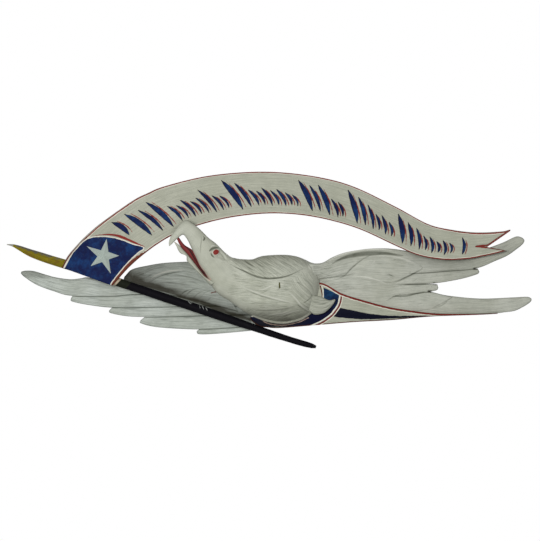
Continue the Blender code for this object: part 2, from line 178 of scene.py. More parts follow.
RIGHT_WING_CUTS = (
    (((132, 65), (153, 78), (186, 89), (219, 94), (256, 95), (294, 91)), 6, -1.6),
    (((146, 62), (169, 74), (194, 81), (227, 85), (267, 85), (310, 80)), 12, 2.2),
    (((236, 82), (215, 71), (202, 61), (190, 51), (182, 42), (173, 33), (153, 24)), 4, 1.5),
    (((231, 78), (256, 80), (288, 78), (319, 70), (346, 57), (357, 50)), 5, -1.2),
    (((228, 73), (256, 75), (286, 73), (316, 65), (340, 54)), 5, 0.8),
    (((360, 49), (339, 40), (319, 30), (298, 20), (281, 14)), 4, 1.5),
    (((281, 13), (329, 13), (381, 15)), 3.5, 1.3),
    (((356, 42), (395, 44), (440, 46)), 3.5, 0.9),
    (((184, 32), (215, 31), (246, 24), (269, 15), (279, 11)), 5, -1.0),
    (((186, 28), (214, 26), (243, 19), (264, 11)), 4, 0.8),
    (((267, 34), (277, 35), (290, 29)), 3, 1.1),
    (((269, 32), (286, 25)), 2.5, -0.8),
    (((272, 39), (286, 33), (296, 28)), 3, 0.9),
    (((236, 61), (247, 69)), 2.5, -1.1),
    (((231, 59), (242, 65)), 2.5, 1.0),
    (((285, 68), (293, 71)), 2.5, 0.8),
    (((321, 40), (331, 42)), 3, 0.9),
    (((331, 19), (345, 27)), 3, 0.9),
    (((263, -29), (275, -24), (290, -15), (319, -14), (339, -9), (369, -2)), 4, 1.4),
    (((339, -36), (358, -29)), 3, 0.8),
    (((378, -45), (400, -36), (418, -22), (427, -16)), 3.5, 1.1),
    (((104, 56), (122, 50), (146, 49)), 2.6, 0.7),
    (((112, 44), (128, 36), (152, 33)), 2.6, 0.6),
    (((108, 50), (124, 43), (150, 41)), 2.6, -0.5),
    (((150, 56), (180, 62), (205, 70)), 5, 0.7),
    (((256, 63), (290, 60), (320, 54)), 4, 0.6),
    (((250, 53), (285, 51), (330, 47)), 4, 0.6),
    (((200, 44), (235, 43), (262, 40)), 4, 0.7),
    (((207, 38), (235, 33), (255, 27)), 4, 0.6),
    (((160, 8), (200, 2), (240, 0)), 4, 0.5),
    (((250, -5), (300, -2), (350, 2)), 4, 0.5),
    (((440, -30), (500, -32), (560, -30)), 4, 0.6),
    (((420, -42), (480, -44), (545, -42)), 4, 0.6),
)

# Painted shadows in the notches between the right wing's tips, the smear of black paint above the staff
# with the staff's painted shadow, the arm's dirt and painted shade, the rust mark on the left wing, and the
# painted shade below the pennant.
NOTCH_SHADOW_SPOTS = ((480, 49.5), (476, 49.5), (382, 15), (386, 14), (370, -3.2), (374, -3.4))
NOTCH_SHADOW_DARKNESS, NOTCH_SHADOW_REACH = 0.9, 2.6
STAFF_TOP_LINE = ((-350, 29), (-299, 11), (-241, -6), (-202, -20), (-164, -32), (-125, -48), (-47, -73))
SMEAR_AND_SHADOW_DARKNESS, SMEAR_AND_SHADOW_REACH = 1.6, 14.5
ARM_DIRT_AND_SHADE = 0.55
PENNANT_SHADE, PENNANT_SHADE_REACH = 0.58, 18.0
RUST_MARK = ((-136.5, -6.8), (-129, -4.6), (-119.5, -4.2))

# Pennant: a board that leans from the staff at its hoist back to the wing at its fly.
PENNANT_THICK = 14.0
PENNANT_WIDTH = 98.0  # about, for the number of columns
PENNANT_HOIST_Y = -44.0
PENNANT_FLY_Y = -24.0
PENNANT_LEAN_FROM_X = -180.0
PENNANT_LEAN_TO_X = 380.0
PENNANT_TOP = (
    (-483, 52), (-469.5, 78.8), (-449, 103.2), (-430, 123), (-393, 155), (-320, 206.5), (-284, 225),
    (-246, 240.5), (-155, 263), (-60, 273.5), (30, 273), (125, 260), (200, 238), (293, 193), (367, 153.5),
    (423, 140), (479, 134), (535, 136), (559, 140.5),
)
PENNANT_BOTTOM = (
    (-366, 10), (-321, 59), (-265, 104), (-209, 135), (-135, 159), (-65, 172.5), (5, 178), (75, 174),
    (144, 161), (213, 139.5), (293, 102.5), (345, 80.5), (400, 70.5), (450, 71), (500, 79), (555, 92),
)
TAIL_NOTCH = ((505, 100), (575, 86), (575, 148.5))  # the wedge that is cut out of the fly
TAIL_LINES = ((557, 91.5), (506, 99), (479, 101), (494, 103.5), (506, 104), (559, 139.5))
HOIST_LINES_TO = -416.0  # the hoist's own lines end at this x
LINE_INSET = (  # at x, how far in from the upper edge the lines begin
    (-480, -470, -456, -440, -425, -410, -395, -360, -300, -200, 400, 440, 560),
    (0, 1.4, 2.2, 2.6, 2.8, 2.8, 2.4, 1.8, 1.4, 0.2, 0.2, 1.4, 1.4),
)
CANTON = (
    (-490, 30), (-475.5, 52), (-461, 79.5), (-446.5, 97.5), (-430, 114), (-412, 121.5), (-382, 123), (-360, 120),
    (-337, 113), (-315, 104.5), (-293, 98), (-308, 86.5), (-326, 69), (-344, 49), (-360, 29), (-371, 13),
    (-380, -10),
)
CANTON_BAND = ((-412, 125.5), (-395, 127.8), (-378, 128.8), (-358, 127), (-340, 121.5), (-317, 111.2), (-292, 101))
CANTON_BAND_WIDTH = ((-412, -375, -345, -320, -292), (0.6, 3.4, 6.2, 5.0, 1.8))  # at x
INNER_BORDER_WIDTH = ((-366, -330, -308, -288, -268), (8, 8.6, 7.4, 3.4, -2))  # at x
STAR_CENTRE = (-386.0, 79.0)
STAR_TIPS = ((80, 40.5), (1, 36), (-68, 44.5), (-142, 38.5), (-210, 45.5))  # direction in degrees, radius
STAR_INNER_RADIUS = 14.5
STAR_RISE = 14.0

# A row of leaf-shaped strokes along the pennant, as (x at mid height, foot, head, width). Foot and head are
# shares of the pennant's width.
PENNANT_STROKES = (
    (-329, 0.48, 0.88, 12), (-302, 0.22, 0.86, 13), (-279, 0.18, 0.78, 9),
    (-256, 0.16, 0.84, 12), (-230, 0.20, 0.60, 7), (-214, 0.22, 0.54, 6), (-198, 0.20, 0.62, 7),
    (-182, 0.22, 0.54, 6), (-166, 0.20, 0.58, 6), (-149, 0.18, 0.74, 8), (-131, 0.20, 0.56, 6),
    (-116, 0.22, 0.52, 5),
    (-88, 0.15, 0.85, 13), (-65, 0.18, 0.76, 9), (-45, 0.20, 0.58, 7), (-29, 0.22, 0.54, 6),
    (-13, 0.19, 0.62, 7), (4, 0.21, 0.55, 6), (20, 0.19, 0.58, 7), (36, 0.22, 0.52, 6), (50, 0.22, 0.48, 5),
    (82, 0.15, 0.85, 12), (103, 0.18, 0.76, 8), (124, 0.14, 0.80, 11), (144, 0.13, 0.54, 7), (158, 0.18, 0.50, 6),
    (192, 0.13, 0.86, 12), (213, 0.17, 0.78, 9), (232, 0.16, 0.70, 7), (247, 0.20, 0.56, 6),
    (262, 0.17, 0.60, 7), (277, 0.20, 0.52, 6),
    (303, 0.15, 0.84, 12), (324, 0.18, 0.76, 9), (343, 0.16, 0.72, 7), (358, 0.20, 0.58, 6),
    (373, 0.17, 0.62, 7), (388, 0.20, 0.54, 6), (403, 0.16, 0.60, 7), (418, 0.22, 0.54, 5),
    (447, 0.18, 0.76, 7),
)
STROKE_BOW = 5.0  # how far a stroke's middle bends along the pennant
STROKE_LEAN = 7.0  # how far its ends lean to either side
SHADE_WIDTH = 2.8  # of the thin red stroke beside each
SHADE_ASIDE = 2.6

# Shield: convex, lying on its side. Each pair runs from the end under the bird to the point.
SHIELD_LEFT_X = -43.0
SHIELD_LENGTH = 573.0
SHIELD_EDGE_THICK = (31.0, 14.0)
SHIELD_CROWN = (11.0, 5.0)
SHIELD_COLUMNS = 64
SHIELD_BOTTOM = (
    (530, -55.5), (485, -58), (374, -62), (284, -70), (193, -75), (105, -82), (22, -88.5), (-7, -87),
    (-22, -85.5), (-37, -77), (-47, -66),
)
SHIELD_TOP = (
    (530, -54), (488, -55.5), (395, -55), (328, -48), (274, -39), (221, -25), (167, -8), (117, 17), (60, 0),
    (0, -25), (-40, -56),
)
CHIEF = (
    (124.5, 5.5), (142, -2.5), (160, -10.5), (175, -10), (170, -60), (130, -84), (93, -83), (46, -85.3), (5, -86),
    (-22, -85), (-52, -68), (-50, -50), (-5, -40), (60, -40), (118, -30), (124.5, -14),
)
CHIEF_DARK_BELOW = -40.0  # z
CHIEF_RIGHT_LINE = ((163, -8), (161, -24), (157, -36), (149, -48), (138, -60), (119, -73), (95, -84))
CHIEF_LEFT_LINE = ((120.5, 9), (123.6, -1), (123.8, -24))
CHIEF_LEFT_BORDER = ((115.5, 18), (118, 5), (122, -14), (122, -24))
UNDER_LINE = ((-22, -66), (-10, -75.5), (8, -80.5), (30, -81.8), (50, -79), (70, -73.5), (90, -64))
WEDGE = (
    (164, -42), (194, -48.5), (230, -55.5), (265, -59.5), (301, -61), (345, -60.5), (400, -58.5), (398, -60.5),
    (345, -63), (274, -66), (239, -67.5), (212, -67.5), (176, -65), (148, -61.5),
)

# Staff: round, with a four-sided spear point.
STAFF_RADIUS = 10.0
STAFF_Y = -(ROOT_THICK + STAFF_RADIUS + 0.8)  # in front of the left wing, with two gaps of 0.4 between
STAFF_AXIS = ((-470, 57.6), (-164, -44.6), (30, -110), (107, -132.5))
STAFF_ROWS, SPEAR_ROWS = 420, 130
STAFF_TAPER = ((-110, -28, 30, 80, 98, 107), (1, 0.82, 0.72, 0.68, 0.56, 0.3))  # at x, share of the radius
STAFF_PATCH = (-369.0, 0.95)  # bare wood up to x = the first + the second times z
STAFF_SCRATCHES = (
    ((-190, -26), (-184, -32)), ((-186, -25), (-181, -31)), ((-164, -36), (-162, -42)),
    ((-157, -38), (-154, -44)), ((-149, -41), (-146, -47)),
)
SPEAR_AXIS = (
    (-611.5, 105.8), (-597, 103.4), (-580, 96.6), (-558, 86.6), (-535, 78.4), (-505, 68.6), (-462, 55.8),
)
SPEAR_HALF_WIDTHS = (0.8, 3.0, 5.8, 8.5, 9.9, 10.4, 11.0)
SPEAR_DEPTH_SHARE = 0.75

# Body. A rib is (lower x, lower z, upper x, upper z, middle y, front depth, back depth, squareness of the
# back), and its back is cut off flat at the wall.
BODY_RIBS = (
    (-233, 101.5, -234, 103.5, -68, 2, 2, 1),
    (-227, 107, -234, 112, -69, 4.5, 4.5, 1),
    (-217, 117, -229, 126, -70, 8, 8, 1),
    (-209, 124, -222, 135, -71, 10.5, 10.5, 1),
    (-201, 128, -213, 148, -71.5, 12.5, 13, 1),
    (-195, 122, -203, 158, -72, 14.5, 15, 1),
    (-190, 114, -192, 162, -72, 16, 17, 1),
    (-185, 104, -178, 154, -72, 17.5, 18, 1),
    (-181, 95, -159, 138, -72, 19.5, 20, 1),
    (-172, 77, -142, 121, -72, 21.5, 27, 0.8),
    (-161, 54, -125, 108, -71, 23, 50, 0.5),
    (-150, 39, -106, 89, -68, 24, 85, 0.4),
    (-138, 16, -91, 77, -62, 27, 78, 0.3),
    (-126, -3, -79, 72, -56, 32, 70, 0.3),
    (-111, -15, -63, 70, -51, 36, 64, 0.3),
    (-96, -24, -40, 70, -47, 39, 60, 0.3),
    (-77, -38, -20, 77, -44, 42, 56, 0.3),
    (-47, -58, 2, 80, -42, 44, 54, 0.3),
    (-7, -74, 31, 81, -42, 45, 54, 0.3),
    (30, -79, 53, 79, -42, 42, 54, 0.3),
    (67, -72, 76, 73, -41, 34, 54, 0.3),
    (88, -61, 93, 65, -37, 26, 49, 0.3),
    (103, -47, 107, 58, -29, 18, 41, 0.35),
    (113, -22, 115, 32, -20, 12, 32, 0.5),
)
JAW_RIBS = (
    (-222, 111, -221, 112.5, -70, 2, 2, 1),
    (-216.5, 101, -210, 104, -70, 5, 5, 1),
    (-212, 91, -201, 94, -70, 8, 8, 1),
    (-206, 84.5, -192, 84.5, -70, 10, 10, 1),
    (-194, 79, -182, 72, -70, 12, 16, 1),
    (-192, 67, -174, 62, -69, 14, 46, 0.6),
    (-178, 52, -162, 46, -67, 16, 55, 0.4),
    (-161, 35, -147, 29, -65, 18, 60, 0.3),
    (-139, 11, -124, 20, -62, 20, 60, 0.3),
)
TONGUE_RIBS = (
    (-216, 119, -212, 123.5, -68, 2.5, 2.5, 1),
    (-209, 104, -198, 105, -66, 5, 5, 1),
    (-194, 82, -177, 90, -64, 6, 8, 1),
    (-180, 64, -162, 60, -62, 5, 11, 1),
    (-150, 24, -134, 28, -60, 5, 14, 1),
)
# The tuft: its lower and upper edge, how far its tip and root stand out, and the cuts between its locks.
TUFT = (
    ((152, -24), (147, -33), (136, -45), (123, -54), (104, -57), (90, -48)),
    ((151, -21), (137, -23.5), (119, -16), (90, -8)),
)
TUFT_THICK = (47.0, 52.0)
TUFT_BACK = 25.0
# painted shade over the whole tuft
TUFT_SHADE = 0.18
TUFT_CUTS = (
    (((100, -28), (112, -32), (128, -31), (142, -25)), 3.5, 1.4),
    (((102, -38), (114, -43), (130, -40), (146, -29)), 3.5, 1.4),
    (((106, -48), (120, -51), (134, -45), (144, -36)), 3.5, 1.2),
    (((104, -22), (118, -24), (134, -24)), 3, 1.0),
)
EYE = (-125.0, 87.5, 6.2)  # centre and radius
EYE_LEAN, EYE_STRETCH = math.radians(28), 1.22
EYE_RISE = 4.2
SOCKET_DEPTH = 2.4
EYE_SOCKET = (
    (-136, 84), (-132, 92), (-124, 95.5), (-115, 91), (-107, 82), (-100, 70), (-112, 73), (-123, 77), (-132, 79),
)
SHOULDER = (
    (-99, 67), (-76, 51), (-53, 36), (-31, 29), (-5, 26.5), (24, 30), (58, 42), (84, 56), (60, 95), (0, 100),
    (-60, 95),
)
SHOULDER_RISE, SHOULDER_SOFTNESS = 3.2, 10.0
BODY_CUTS = (
    (
        ((-92, 60), (-76, 51), (-46, 37), (-32, 31), (-11, 27), (7, 27), (31, 30), (52, 37), (66, 44), (76, 49)),
        3.6, 2.0,
    ),
    (((-46, 33), (-32, 27), (-11, 23), (10, 23), (31, 26)), 3.6, -0.7),
    (((-76, 16), (-55, 3.5), (-28, -7), (-1, -16), (31, -24), (60, -31), (71, -35)), 3, -1.2),
    (((-76, 12), (-55, -0.5), (-28, -11), (-1, -20), (31, -28), (60, -35)), 3, 1.0),
    (((34, 3), (56, -16), (72, -35), (86, -45), (100, -55), (106, -59)), 3, -1.4),
    (((52, -18), (68, -37), (84, -48), (98, -58)), 3, 1.1),
    (((71, -33), (82, -28), (94, -19), (101, -8)), 3, 0.9),
    (((-46, -45), (-18, -48), (10, -47), (38, -43), (60, -36), (70, -34)), 4, 0.9),
    (((-60, -22), (-30, -30), (0, -36), (34, -38)), 3, 0.6),
    (((-8, -58), (24, -54), (52, -47)), 3.4, -1.0),
    (((-20, -60), (6, -62), (30, -60)), 3.2, 0.7),
    (((12, -62), (34, -56), (60, -48), (82, -46)), 3.4, -0.9),
    (((16, -64), (40, -59), (66, -51)), 3.4, 0.8),
    (((50, 4), (60, -9), (72, -20), (80, -28)), 3, 0.8),
    (((60, 20), (80, 8), (96, -8), (102, -24)), 3, 0.7),
    (((66, 34), (84, 24), (98, 8), (105, -10)), 3, 0.6),
    (((72, -12), (80, -20), (88, -24)), 3, 0.7),
    (((-25, -5), (-26, 0), (-15, 2), (-3, 7), (6, 10.5), (16, 9)), 3, -1.2),
    (((-25, -9), (-12, -4), (0, 1)), 3, 0.8),
    (((-30, 7), (-10, 12)), 3, 0.8),
    (((-92, 36), (-66, 32)), 3, 0.6),
    (((-88, 27.5), (-58, 28.5)), 3, 0.6),
    (((-84, 20), (-52, 20)), 3, 0.5),
    (((19, 24), (45, 20), (66, 17), (88, 17)), 3, 0.6),
    (((23, 19), (52, 13), (75, 12)), 3, 0.5),
    (((-62, 68), (-46, 58), (-28, 49)), 3, 1.0),
    (((-46, 72), (-26, 58), (-6, 50)), 3, 0.8),
    (((-22, 68), (-4, 59), (18, 49)), 3, 0.9),
    (((2, 66), (20, 58), (38, 48)), 3, 0.8),
    (((24, 68), (40, 59), (58, 50)), 3, 0.8),
    (((-58, 54), (-44, 48), (-26, 42)), 3, 0.6),
    (((-16, 42), (6, 38), (28, 40)), 3, 0.6),
    (((86, 62), (92, 52), (100, 44)), 3.5, -1.2),
    (((94, 52), (101, 42), (104, 30)), 3, 0.6),
    (((-159, 131), (-157.5, 119), (-159.5, 107), (-161, 92), (-162, 77)), 3, 0.9),
    (((-153.5, 124.5), (-150.6, 121), (-151.5, 118), (-154.5, 113.5)), 3.2, 2.6),
    (((-141, 89), (-134.5, 95), (-125, 98.5), (-117, 98)), 4.0, 3.6),
    (((-137, 99), (-132.8, 102.5), (-125.5, 103.5)), 3.0, -1.2),
    (((-136, 86), (-133.5, 80), (-127.7, 75)), 3, 2.0),
    (((-117, 90.6), (-108, 80), (-101, 67.5)), 3, 0.8),
    (((-113.5, 91.5), (-104.5, 80.5), (-98, 68)), 3, -0.5),
    (((-101, 66), (-108, 66), (-117, 71)), 3, -0.6),
    (((21.4, 19), (22.6, 10), (22.2, 1)), 3.6, 1.4),
)

# The body's fine strokes run differently on each part: where, how softly it ends, the way they run, how strong.
# The way is an angle in degrees, or the middle that they turn around.
BREAST = (
    (-92, 56), (-60, 28), (-10, 22), (30, 26), (66, 44), (80, 30), (60, 5), (46, -20), (10, -16), (-28, -5),
    (-60, 6), (-84, 26),
)
BELLY = ((-84, 20), (-60, 2), (-28, -9), (46, -25), (40, -45), (-10, -45), (-60, -30), (-100, -5))
THIGH = ((46, 20), (75, 40), (98, 40), (104, -10), (94, -48), (66, -35), (54, -10))
UNDER_THIGH = ((-60, -38), (-10, -48), (40, -42), (70, -36), (98, -55), (60, -84), (0, -84), (-50, -62))
BODY_STROKES = (
    (SHOULDER, 8, -34, 1.0),
    (BREAST, 8, -8, 0.75),
    (BELLY, 8, -4, 0.75),
    (THIGH, 22, (150, 70), 0.5),
    (UNDER_THIGH, 8, 20, 0.9),
)
NECK_STROKES = 0.10
# painted shade on the body's top and on its underside
TOP_SHADE, UNDER_SHADE = 0.26, 0.78
FLAT_BEAK_X = (-165.0, -110.0)  # from the flat-faced beak to the round neck

# Painted and worn lines on the head and the breast, with painted highlights along the lips and the belly's
# lower edge, and painted shade in the mouth's crease
CHECK = ((21.6, 17), (22.4, 5))
UPPER_LIP = ((-176, 88), (-171, 72), (-159, 53), (-148, 38), (-137, 25))
LOWER_LIP = ((-219, 111), (-207, 105), (-192, 88), (-180, 71), (-166, 52), (-151, 33), (-139, 22))
BELLY_RIM = ((-40, -61), (-7, -71.5), (30, -76.2), (67, -69.4), (88, -58.4), (103, -45))
MOUTH_CREASE_WIDTH = ((26, 40, 60, 80, 92, 104, 112, 124), (0.6, 2.6, 1.0, 3.4, 2.0, 1.0, 3.4, 4.6))  # at z
MOUTH_CREASE = ((-211, 124), (-197, 103), (-185, 91), (-179, 80), (-166.6, 58.6), (-152.4, 39), (-140, 26.6))


def sizes():
    """The add-on's sizes in this scene."""
    return bpy.context.scene.eagle_sizes


def colours():
    """The add-on's colours in this scene."""
    return bpy.context.scene.eagle_colours


# Lines and fields


def rise(value, start, stop):
    """0 up to start, 1 from stop on, and straight between them."""
    return np.clip((value - start) / (stop - start), 0, 1)


def run_along(points):
    """How far along a line each of its points lies."""
    return np.concatenate([[0], np.cumsum(np.linalg.norm(np.diff(points, axis=0), axis=1))])


def smooth_line(points, count, bunching=1.0, measured=None):
    """count points on a smooth curve through the given ones, evenly spaced or bunched at its start.

    measured says how many leading columns the spacing is measured on, where a row holds more than a place.
    """
    p = np.array(points, float)
    ends = np.vstack([2 * p[0] - p[1], p, 2 * p[-1] - p[-2]])
    t = np.linspace(0, 1, 24, endpoint=False)[:, None]
    spans = [
        0.5 * (2 * b + (c - a) * t + (2 * a - 5 * b + 4 * c - d) * t**2 + (3 * b - a - 3 * c + d) * t**3)
        for a, b, c, d in zip(ends, ends[1:], ends[2:], ends[3:])
    ]
    fine = np.vstack([*spans, p[-1:]])
    run = run_along(fine[:, :measured])
    at = run[-1] * np.linspace(0, 1, count) ** bunching
    return np.column_stack([np.interp(at, run, fine[:, k]) for k in range(p.shape[1])])


def waves(u, v, seed):
    """Smooth noise from -1 to 1, about one hill a unit."""
    table = np.random.default_rng(seed).uniform(-1, 1, (128, 128))
    i, j = np.floor(u).astype(int), np.floor(v).astype(int)
    f, g = u - i, v - j
    f, g = f * f * (3 - 2 * f), g * g * (3 - 2 * g)
    i0, j0, i1, j1 = i % 128, j % 128, (i + 1) % 128, (j + 1) % 128
    low = table[i0, j0] * (1 - f) + table[i1, j0] * f
    high = table[i0, j1] * (1 - f) + table[i1, j1] * f
    return low * (1 - g) + high * g


def near_line(x, z, line):
    """Each point's distance to a line, and the share of the line's length at its nearest point."""
    line = np.asarray(line, float)
    run = run_along(line)
    away, along = np.full(np.shape(x), np.inf), np.zeros(np.shape(x))
    for (ax, az), (bx, bz), start, stop in zip(line, line[1:], run, run[1:]):
        dx, dz = bx - ax, bz - az
        k = np.clip(((x - ax) * dx + (z - az) * dz) / max(dx * dx + dz * dz, 1e-9), 0, 1)
        reach = np.hypot(x - ax - k * dx, z - az - k * dz)
        closer = reach < away
        away = np.where(closer, reach, away)
        along = np.where(closer, (start + k * (stop - start)) / run[-1], along)
    return away, along


def away_from(x, z, line, smooth=0):
    """Each point's distance to a line, smoothed to that many points first where the number isn't 0."""
    return near_line(x, z, smooth_line(line, smooth) if smooth else line)[0]


def region_edge(x, z, outline):
    """Each point's distance to a region's edge, negative inside it."""
    ring = [*outline, outline[0]]
    inside = np.zeros(np.shape(x), bool)
    for (ax, az), (bx, bz) in zip(ring, ring[1:]):
        if az != bz:
            inside ^= ((az > z) != (bz > z)) & (x < (bx - ax) * (z - az) / (bz - az) + ax)
    away = away_from(x, z, ring)
    return np.where(inside, -away, away)


def cuts_at(x, z, cuts):
    """How deep the cuts go at each point. Each tapers towards its ends."""
    total = np.zeros(np.shape(x))
    for points, width, depth in cuts:
        line = smooth_line(points, 14)
        low, high = line.min(axis=0) - 2 * width, line.max(axis=0) + 2 * width
        here = (x > low[0]) & (x < high[0]) & (z > low[1]) & (z < high[1])
        away, along = near_line(x[here], z[here], line)
        half = width / 2 * np.sin(np.pi * np.clip(along, 0.03, 0.97)) ** 0.6
        total[here] += depth * np.exp(-((away / half) ** 2)) * np.sin(np.pi * np.clip(along, 0.06, 0.94)) ** 0.4
    return total


def barbs(u, v, seed):
    """Carved lines that run along u and wander a little across it, 0 on the face and 1 in a line."""
    drift = 1.6 * waves(u / 70, v / 30, seed) + 0.8 * waves(u / 25, v / 12, seed + 1)
    coarse = waves(u / 60, (v + drift) / 3.3, seed + 2)
    fine = waves(u / 34, (v + drift) / 1.9, seed + 3)
    return np.clip(0.5 - 0.5 * coarse, 0, 1) ** 3 * 0.8 + np.clip(0.45 - 0.55 * fine, 0, 1) ** 3 * 0.5


# Skins


def finished(bm, name, finishes):
    """The mesh as an object in metres, with its normals outwards and its materials on."""
    bmesh.ops.scale(bm, vec=(MM, MM, MM), verts=bm.verts)
    bmesh.ops.recalc_face_normals(bm, faces=bm.faces)
    mesh = bpy.data.meshes.new(name)
    bm.to_mesh(mesh)
    bm.free()
    mesh.shade_smooth()
    mesh.set_sharp_from_angle(angle=math.radians(50))
    for finish in finishes:
        mesh.materials.append(finish)
    made = bpy.data.objects.new(name, mesh)
    bpy.context.scene.collection.objects.link(made)
    return made


def add_skin(bm, rings, marks):
    """A closed skin on rings of points, each ring closed in itself, with a cap at both ends.

    rings is an array of rows by columns by 3. marks holds a value for each point and becomes attributes.
    """
    rows, columns = rings.shape[:2]
    layers = {mark: bm.verts.layers.float.get(mark) or bm.verts.layers.float.new(mark) for mark in marks}
    grid = bmesh.ops.create_grid(bm, x_segments=columns, y_segments=rows - 1, size=0.5)["verts"]
    for vert in grid:
        row, column = round((vert.co.y + 0.5) * (rows - 1)), round((vert.co.x + 0.5) * columns) % columns
        vert.co = rings[row, column]
        for mark, layer in layers.items():
            vert[layer] = marks[mark][row, column]
    bmesh.ops.remove_doubles(bm, verts=grid, dist=1e-5)
    rim = [edge for edge in bm.edges if edge.is_boundary]
    bmesh.ops.holes_fill(bm, edges=rim, sides=0)


def across(count):
    """Shares from 0 to 1, closer together near both ends."""
    even = np.linspace(0, 1, count)
    return even - 0.6 * np.sin(2 * np.pi * even) / (2 * np.pi)


DARK_RED = (0.085, 0.022, 0.014)  # the thin lines on the pennant and the shield
FAR = 99.0  # further from a painted edge than any field reaches
UNPAINTED = {"cut": 0.0, "ridge": 0.0, "dirt_and_shade": 0.1, "plain": 0.0, "edge": 30.0}  # on a board's sides, other marks FAR


class Board:
    """A board between two edges that run from its tip to its root, as arrays of rows by columns."""

    def __init__(self, lower, upper, rows, columns, bunching=1.0):
        self.low = smooth_line(lower, rows, bunching)
        self.high = smooth_line(upper, rows, bunching)
        self.t, self.s = np.meshgrid(across(columns), np.linspace(0, 1, rows))
        self.x = self.low[:, :1] + (self.high - self.low)[:, :1] * self.t
        self.z = self.low[:, 1:] + (self.high - self.low)[:, 1:] * self.t
        self.width = np.linalg.norm(self.high - self.low, axis=1)[:, None]
        run = run_along((self.low + self.high) / 2)
        self.u = np.repeat(run[:, None], columns, axis=1)
        self.v = (self.t - 0.5) * self.width
        self.edge = np.minimum(np.minimum(self.t, 1 - self.t) * self.width, self.u)

    def skin(self, bm, depth, back, marks):
        """Adds the board to a mesh. depth is its front, and back, which depends on x, is its other side."""
        shares = np.array([1, 0.96, 0.04, 0])[None, :, None]
        behind = self.low[:, None] * (1 - shares) + self.high[:, None] * shares
        rings = np.concatenate([
            np.stack([self.x, -depth, self.z], axis=2),
            np.stack([behind[:, :, 0], -back(behind[:, :, 0]), behind[:, :, 1]], axis=2),
        ], axis=1)
        flow = {"flow_u": self.u, "flow_v": self.v, "edge": self.edge}
        ends = {
            name: np.concatenate([field, np.full((len(field), 4), UNPAINTED.get(name, FAR))], axis=1)
            for name, field in {**flow, **marks}.items()
        }
        for name in ("flow_u", "flow_v"):
            ends[name][:, -4:-2], ends[name][:, -2:] = flow[name][:, -1:], flow[name][:, :1]
        ends["back"] = np.zeros(rings.shape[:2])
        ends["back"][:, -3:-1] = 1
        add_skin(bm, rings, ends)


def rows_for(edge, spacing):
    """How many rows a board needs along this edge."""
    return int(run_along(smooth_line(edge, 60))[-1] / spacing)


# Wings


def wing_thickness(x):
    """How thick the wings are at x."""
    root = np.where(x < 0, LEFT_ROOT_X, RIGHT_ROOT_X)
    tip = np.where(x < 0, LEFT_TIP_X, RIGHT_TIP_X)
    return TIP_THICK + (ROOT_THICK - TIP_THICK) * np.clip((x - tip) / (root - tip), 0, 1) ** 0.8


def flat_back(inset=0.4):
    """A back that stands this far off the wall, so that pieces that overlap don't share a plane."""
    return lambda x: np.full(np.shape(x), inset)


def wing(name, feathers, cuts, finish):
    """Feathers that lie against each other like shingles, each carved with its own barbs."""
    bm = bmesh.new()
    size = sizes()
    step, rim_drop, rim_width = (value / MM for value in (size.feather_step, size.rim_drop, size.rim_width))
    spacing = size.point_spacing / MM
    seams = []
    for seed, (lower, upper, levels) in enumerate(feathers.values()):
        rows = rows_for(lower, spacing * 1.25)
        widest = np.linalg.norm(smooth_line(upper, 20) - smooth_line(lower, 20), axis=1).max()
        board = Board(lower, upper, rows, int(widest / spacing * 1.3) + 8, TIP_BUNCHING)
        level = levels[0] + (levels[1] - levels[0]) * board.s**SINK_AT_ROOT
        crown = size.crown / MM * (1 - (2 * board.t - 1) ** 2)
        rim = rim_drop * np.clip(1 - board.edge / rim_width, 0, 1) ** 2
        carved = cuts_at(board.x, board.z, cuts)
        lines = barbs(board.u, board.v + 0.06 * board.u, 40 * seed + len(name))
        lines *= np.clip(board.edge / 3, 0, 1) * np.where(board.x < CALM_FROM, 1, CALM_BARBS)
        hollow = 0.5 * waves(board.u / 80, board.v / 22, seed + 7)
        depth = wing_thickness(board.x) - step * level + crown - rim + hollow
        depth = np.minimum(depth, ROOT_THICK) - carved - size.barb_depth / MM * lines
        depth += root_swell(board.x, board.z)
        calm = rise(board.x, *CALM_X)
        marks = {
            # the cuts' dirt, with dirt and painted shade along the seams under the feathers above
            "cut": (np.maximum(carved, 0) + 0.6 * lines) * (1 - (1 - CALM_DIRT) * calm) + seam_dirt_and_shade(board, seams),
            "plain": CALM_PAINT * calm,
            "ridge": np.maximum(-carved, 0),
            "dirt_and_shade": dirt_and_shade_on_wing(board.x, board.z),
            "rust": away_from(board.x, board.z, RUST_MARK),
        }
        seams.append(smooth_line(lower, 50))
        board.skin(bm, depth, flat_back(BACK_INSET + BACK_STEP * seed), marks)
    made = finished(bm, name, [finish])
    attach(made, "root")
    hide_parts(name)
    return made


def root_swell(x, z):
    """How far the right wing's root rises to meet the body's end. It leaves the shield clear."""
    clear = np.clip((z - np.interp(x, *SHIELD_CLEARANCE)) / 16, 0, 1)
    return np.where(x > 0, ROOT_SWELL * np.exp(-np.maximum(x - ROOT_SWELL_X, 0) / ROOT_SWELL_REACH), 0) * clear


def seam_dirt_and_shade(board, seams):
    """Dirt and painted shade along the lower edges of the feathers that lie over this one."""
    grime_and_shade = np.zeros(board.x.shape)
    for seam in seams:
        grime_and_shade = np.maximum(grime_and_shade, np.clip(1.2 - away_from(board.x, board.z, seam) / 1.6, 0, 1))
    return SEAM_DIRT_AND_SHADE * grime_and_shade * np.where(board.x < 0, 1, rise(board.x, *OPEN_WING_X))


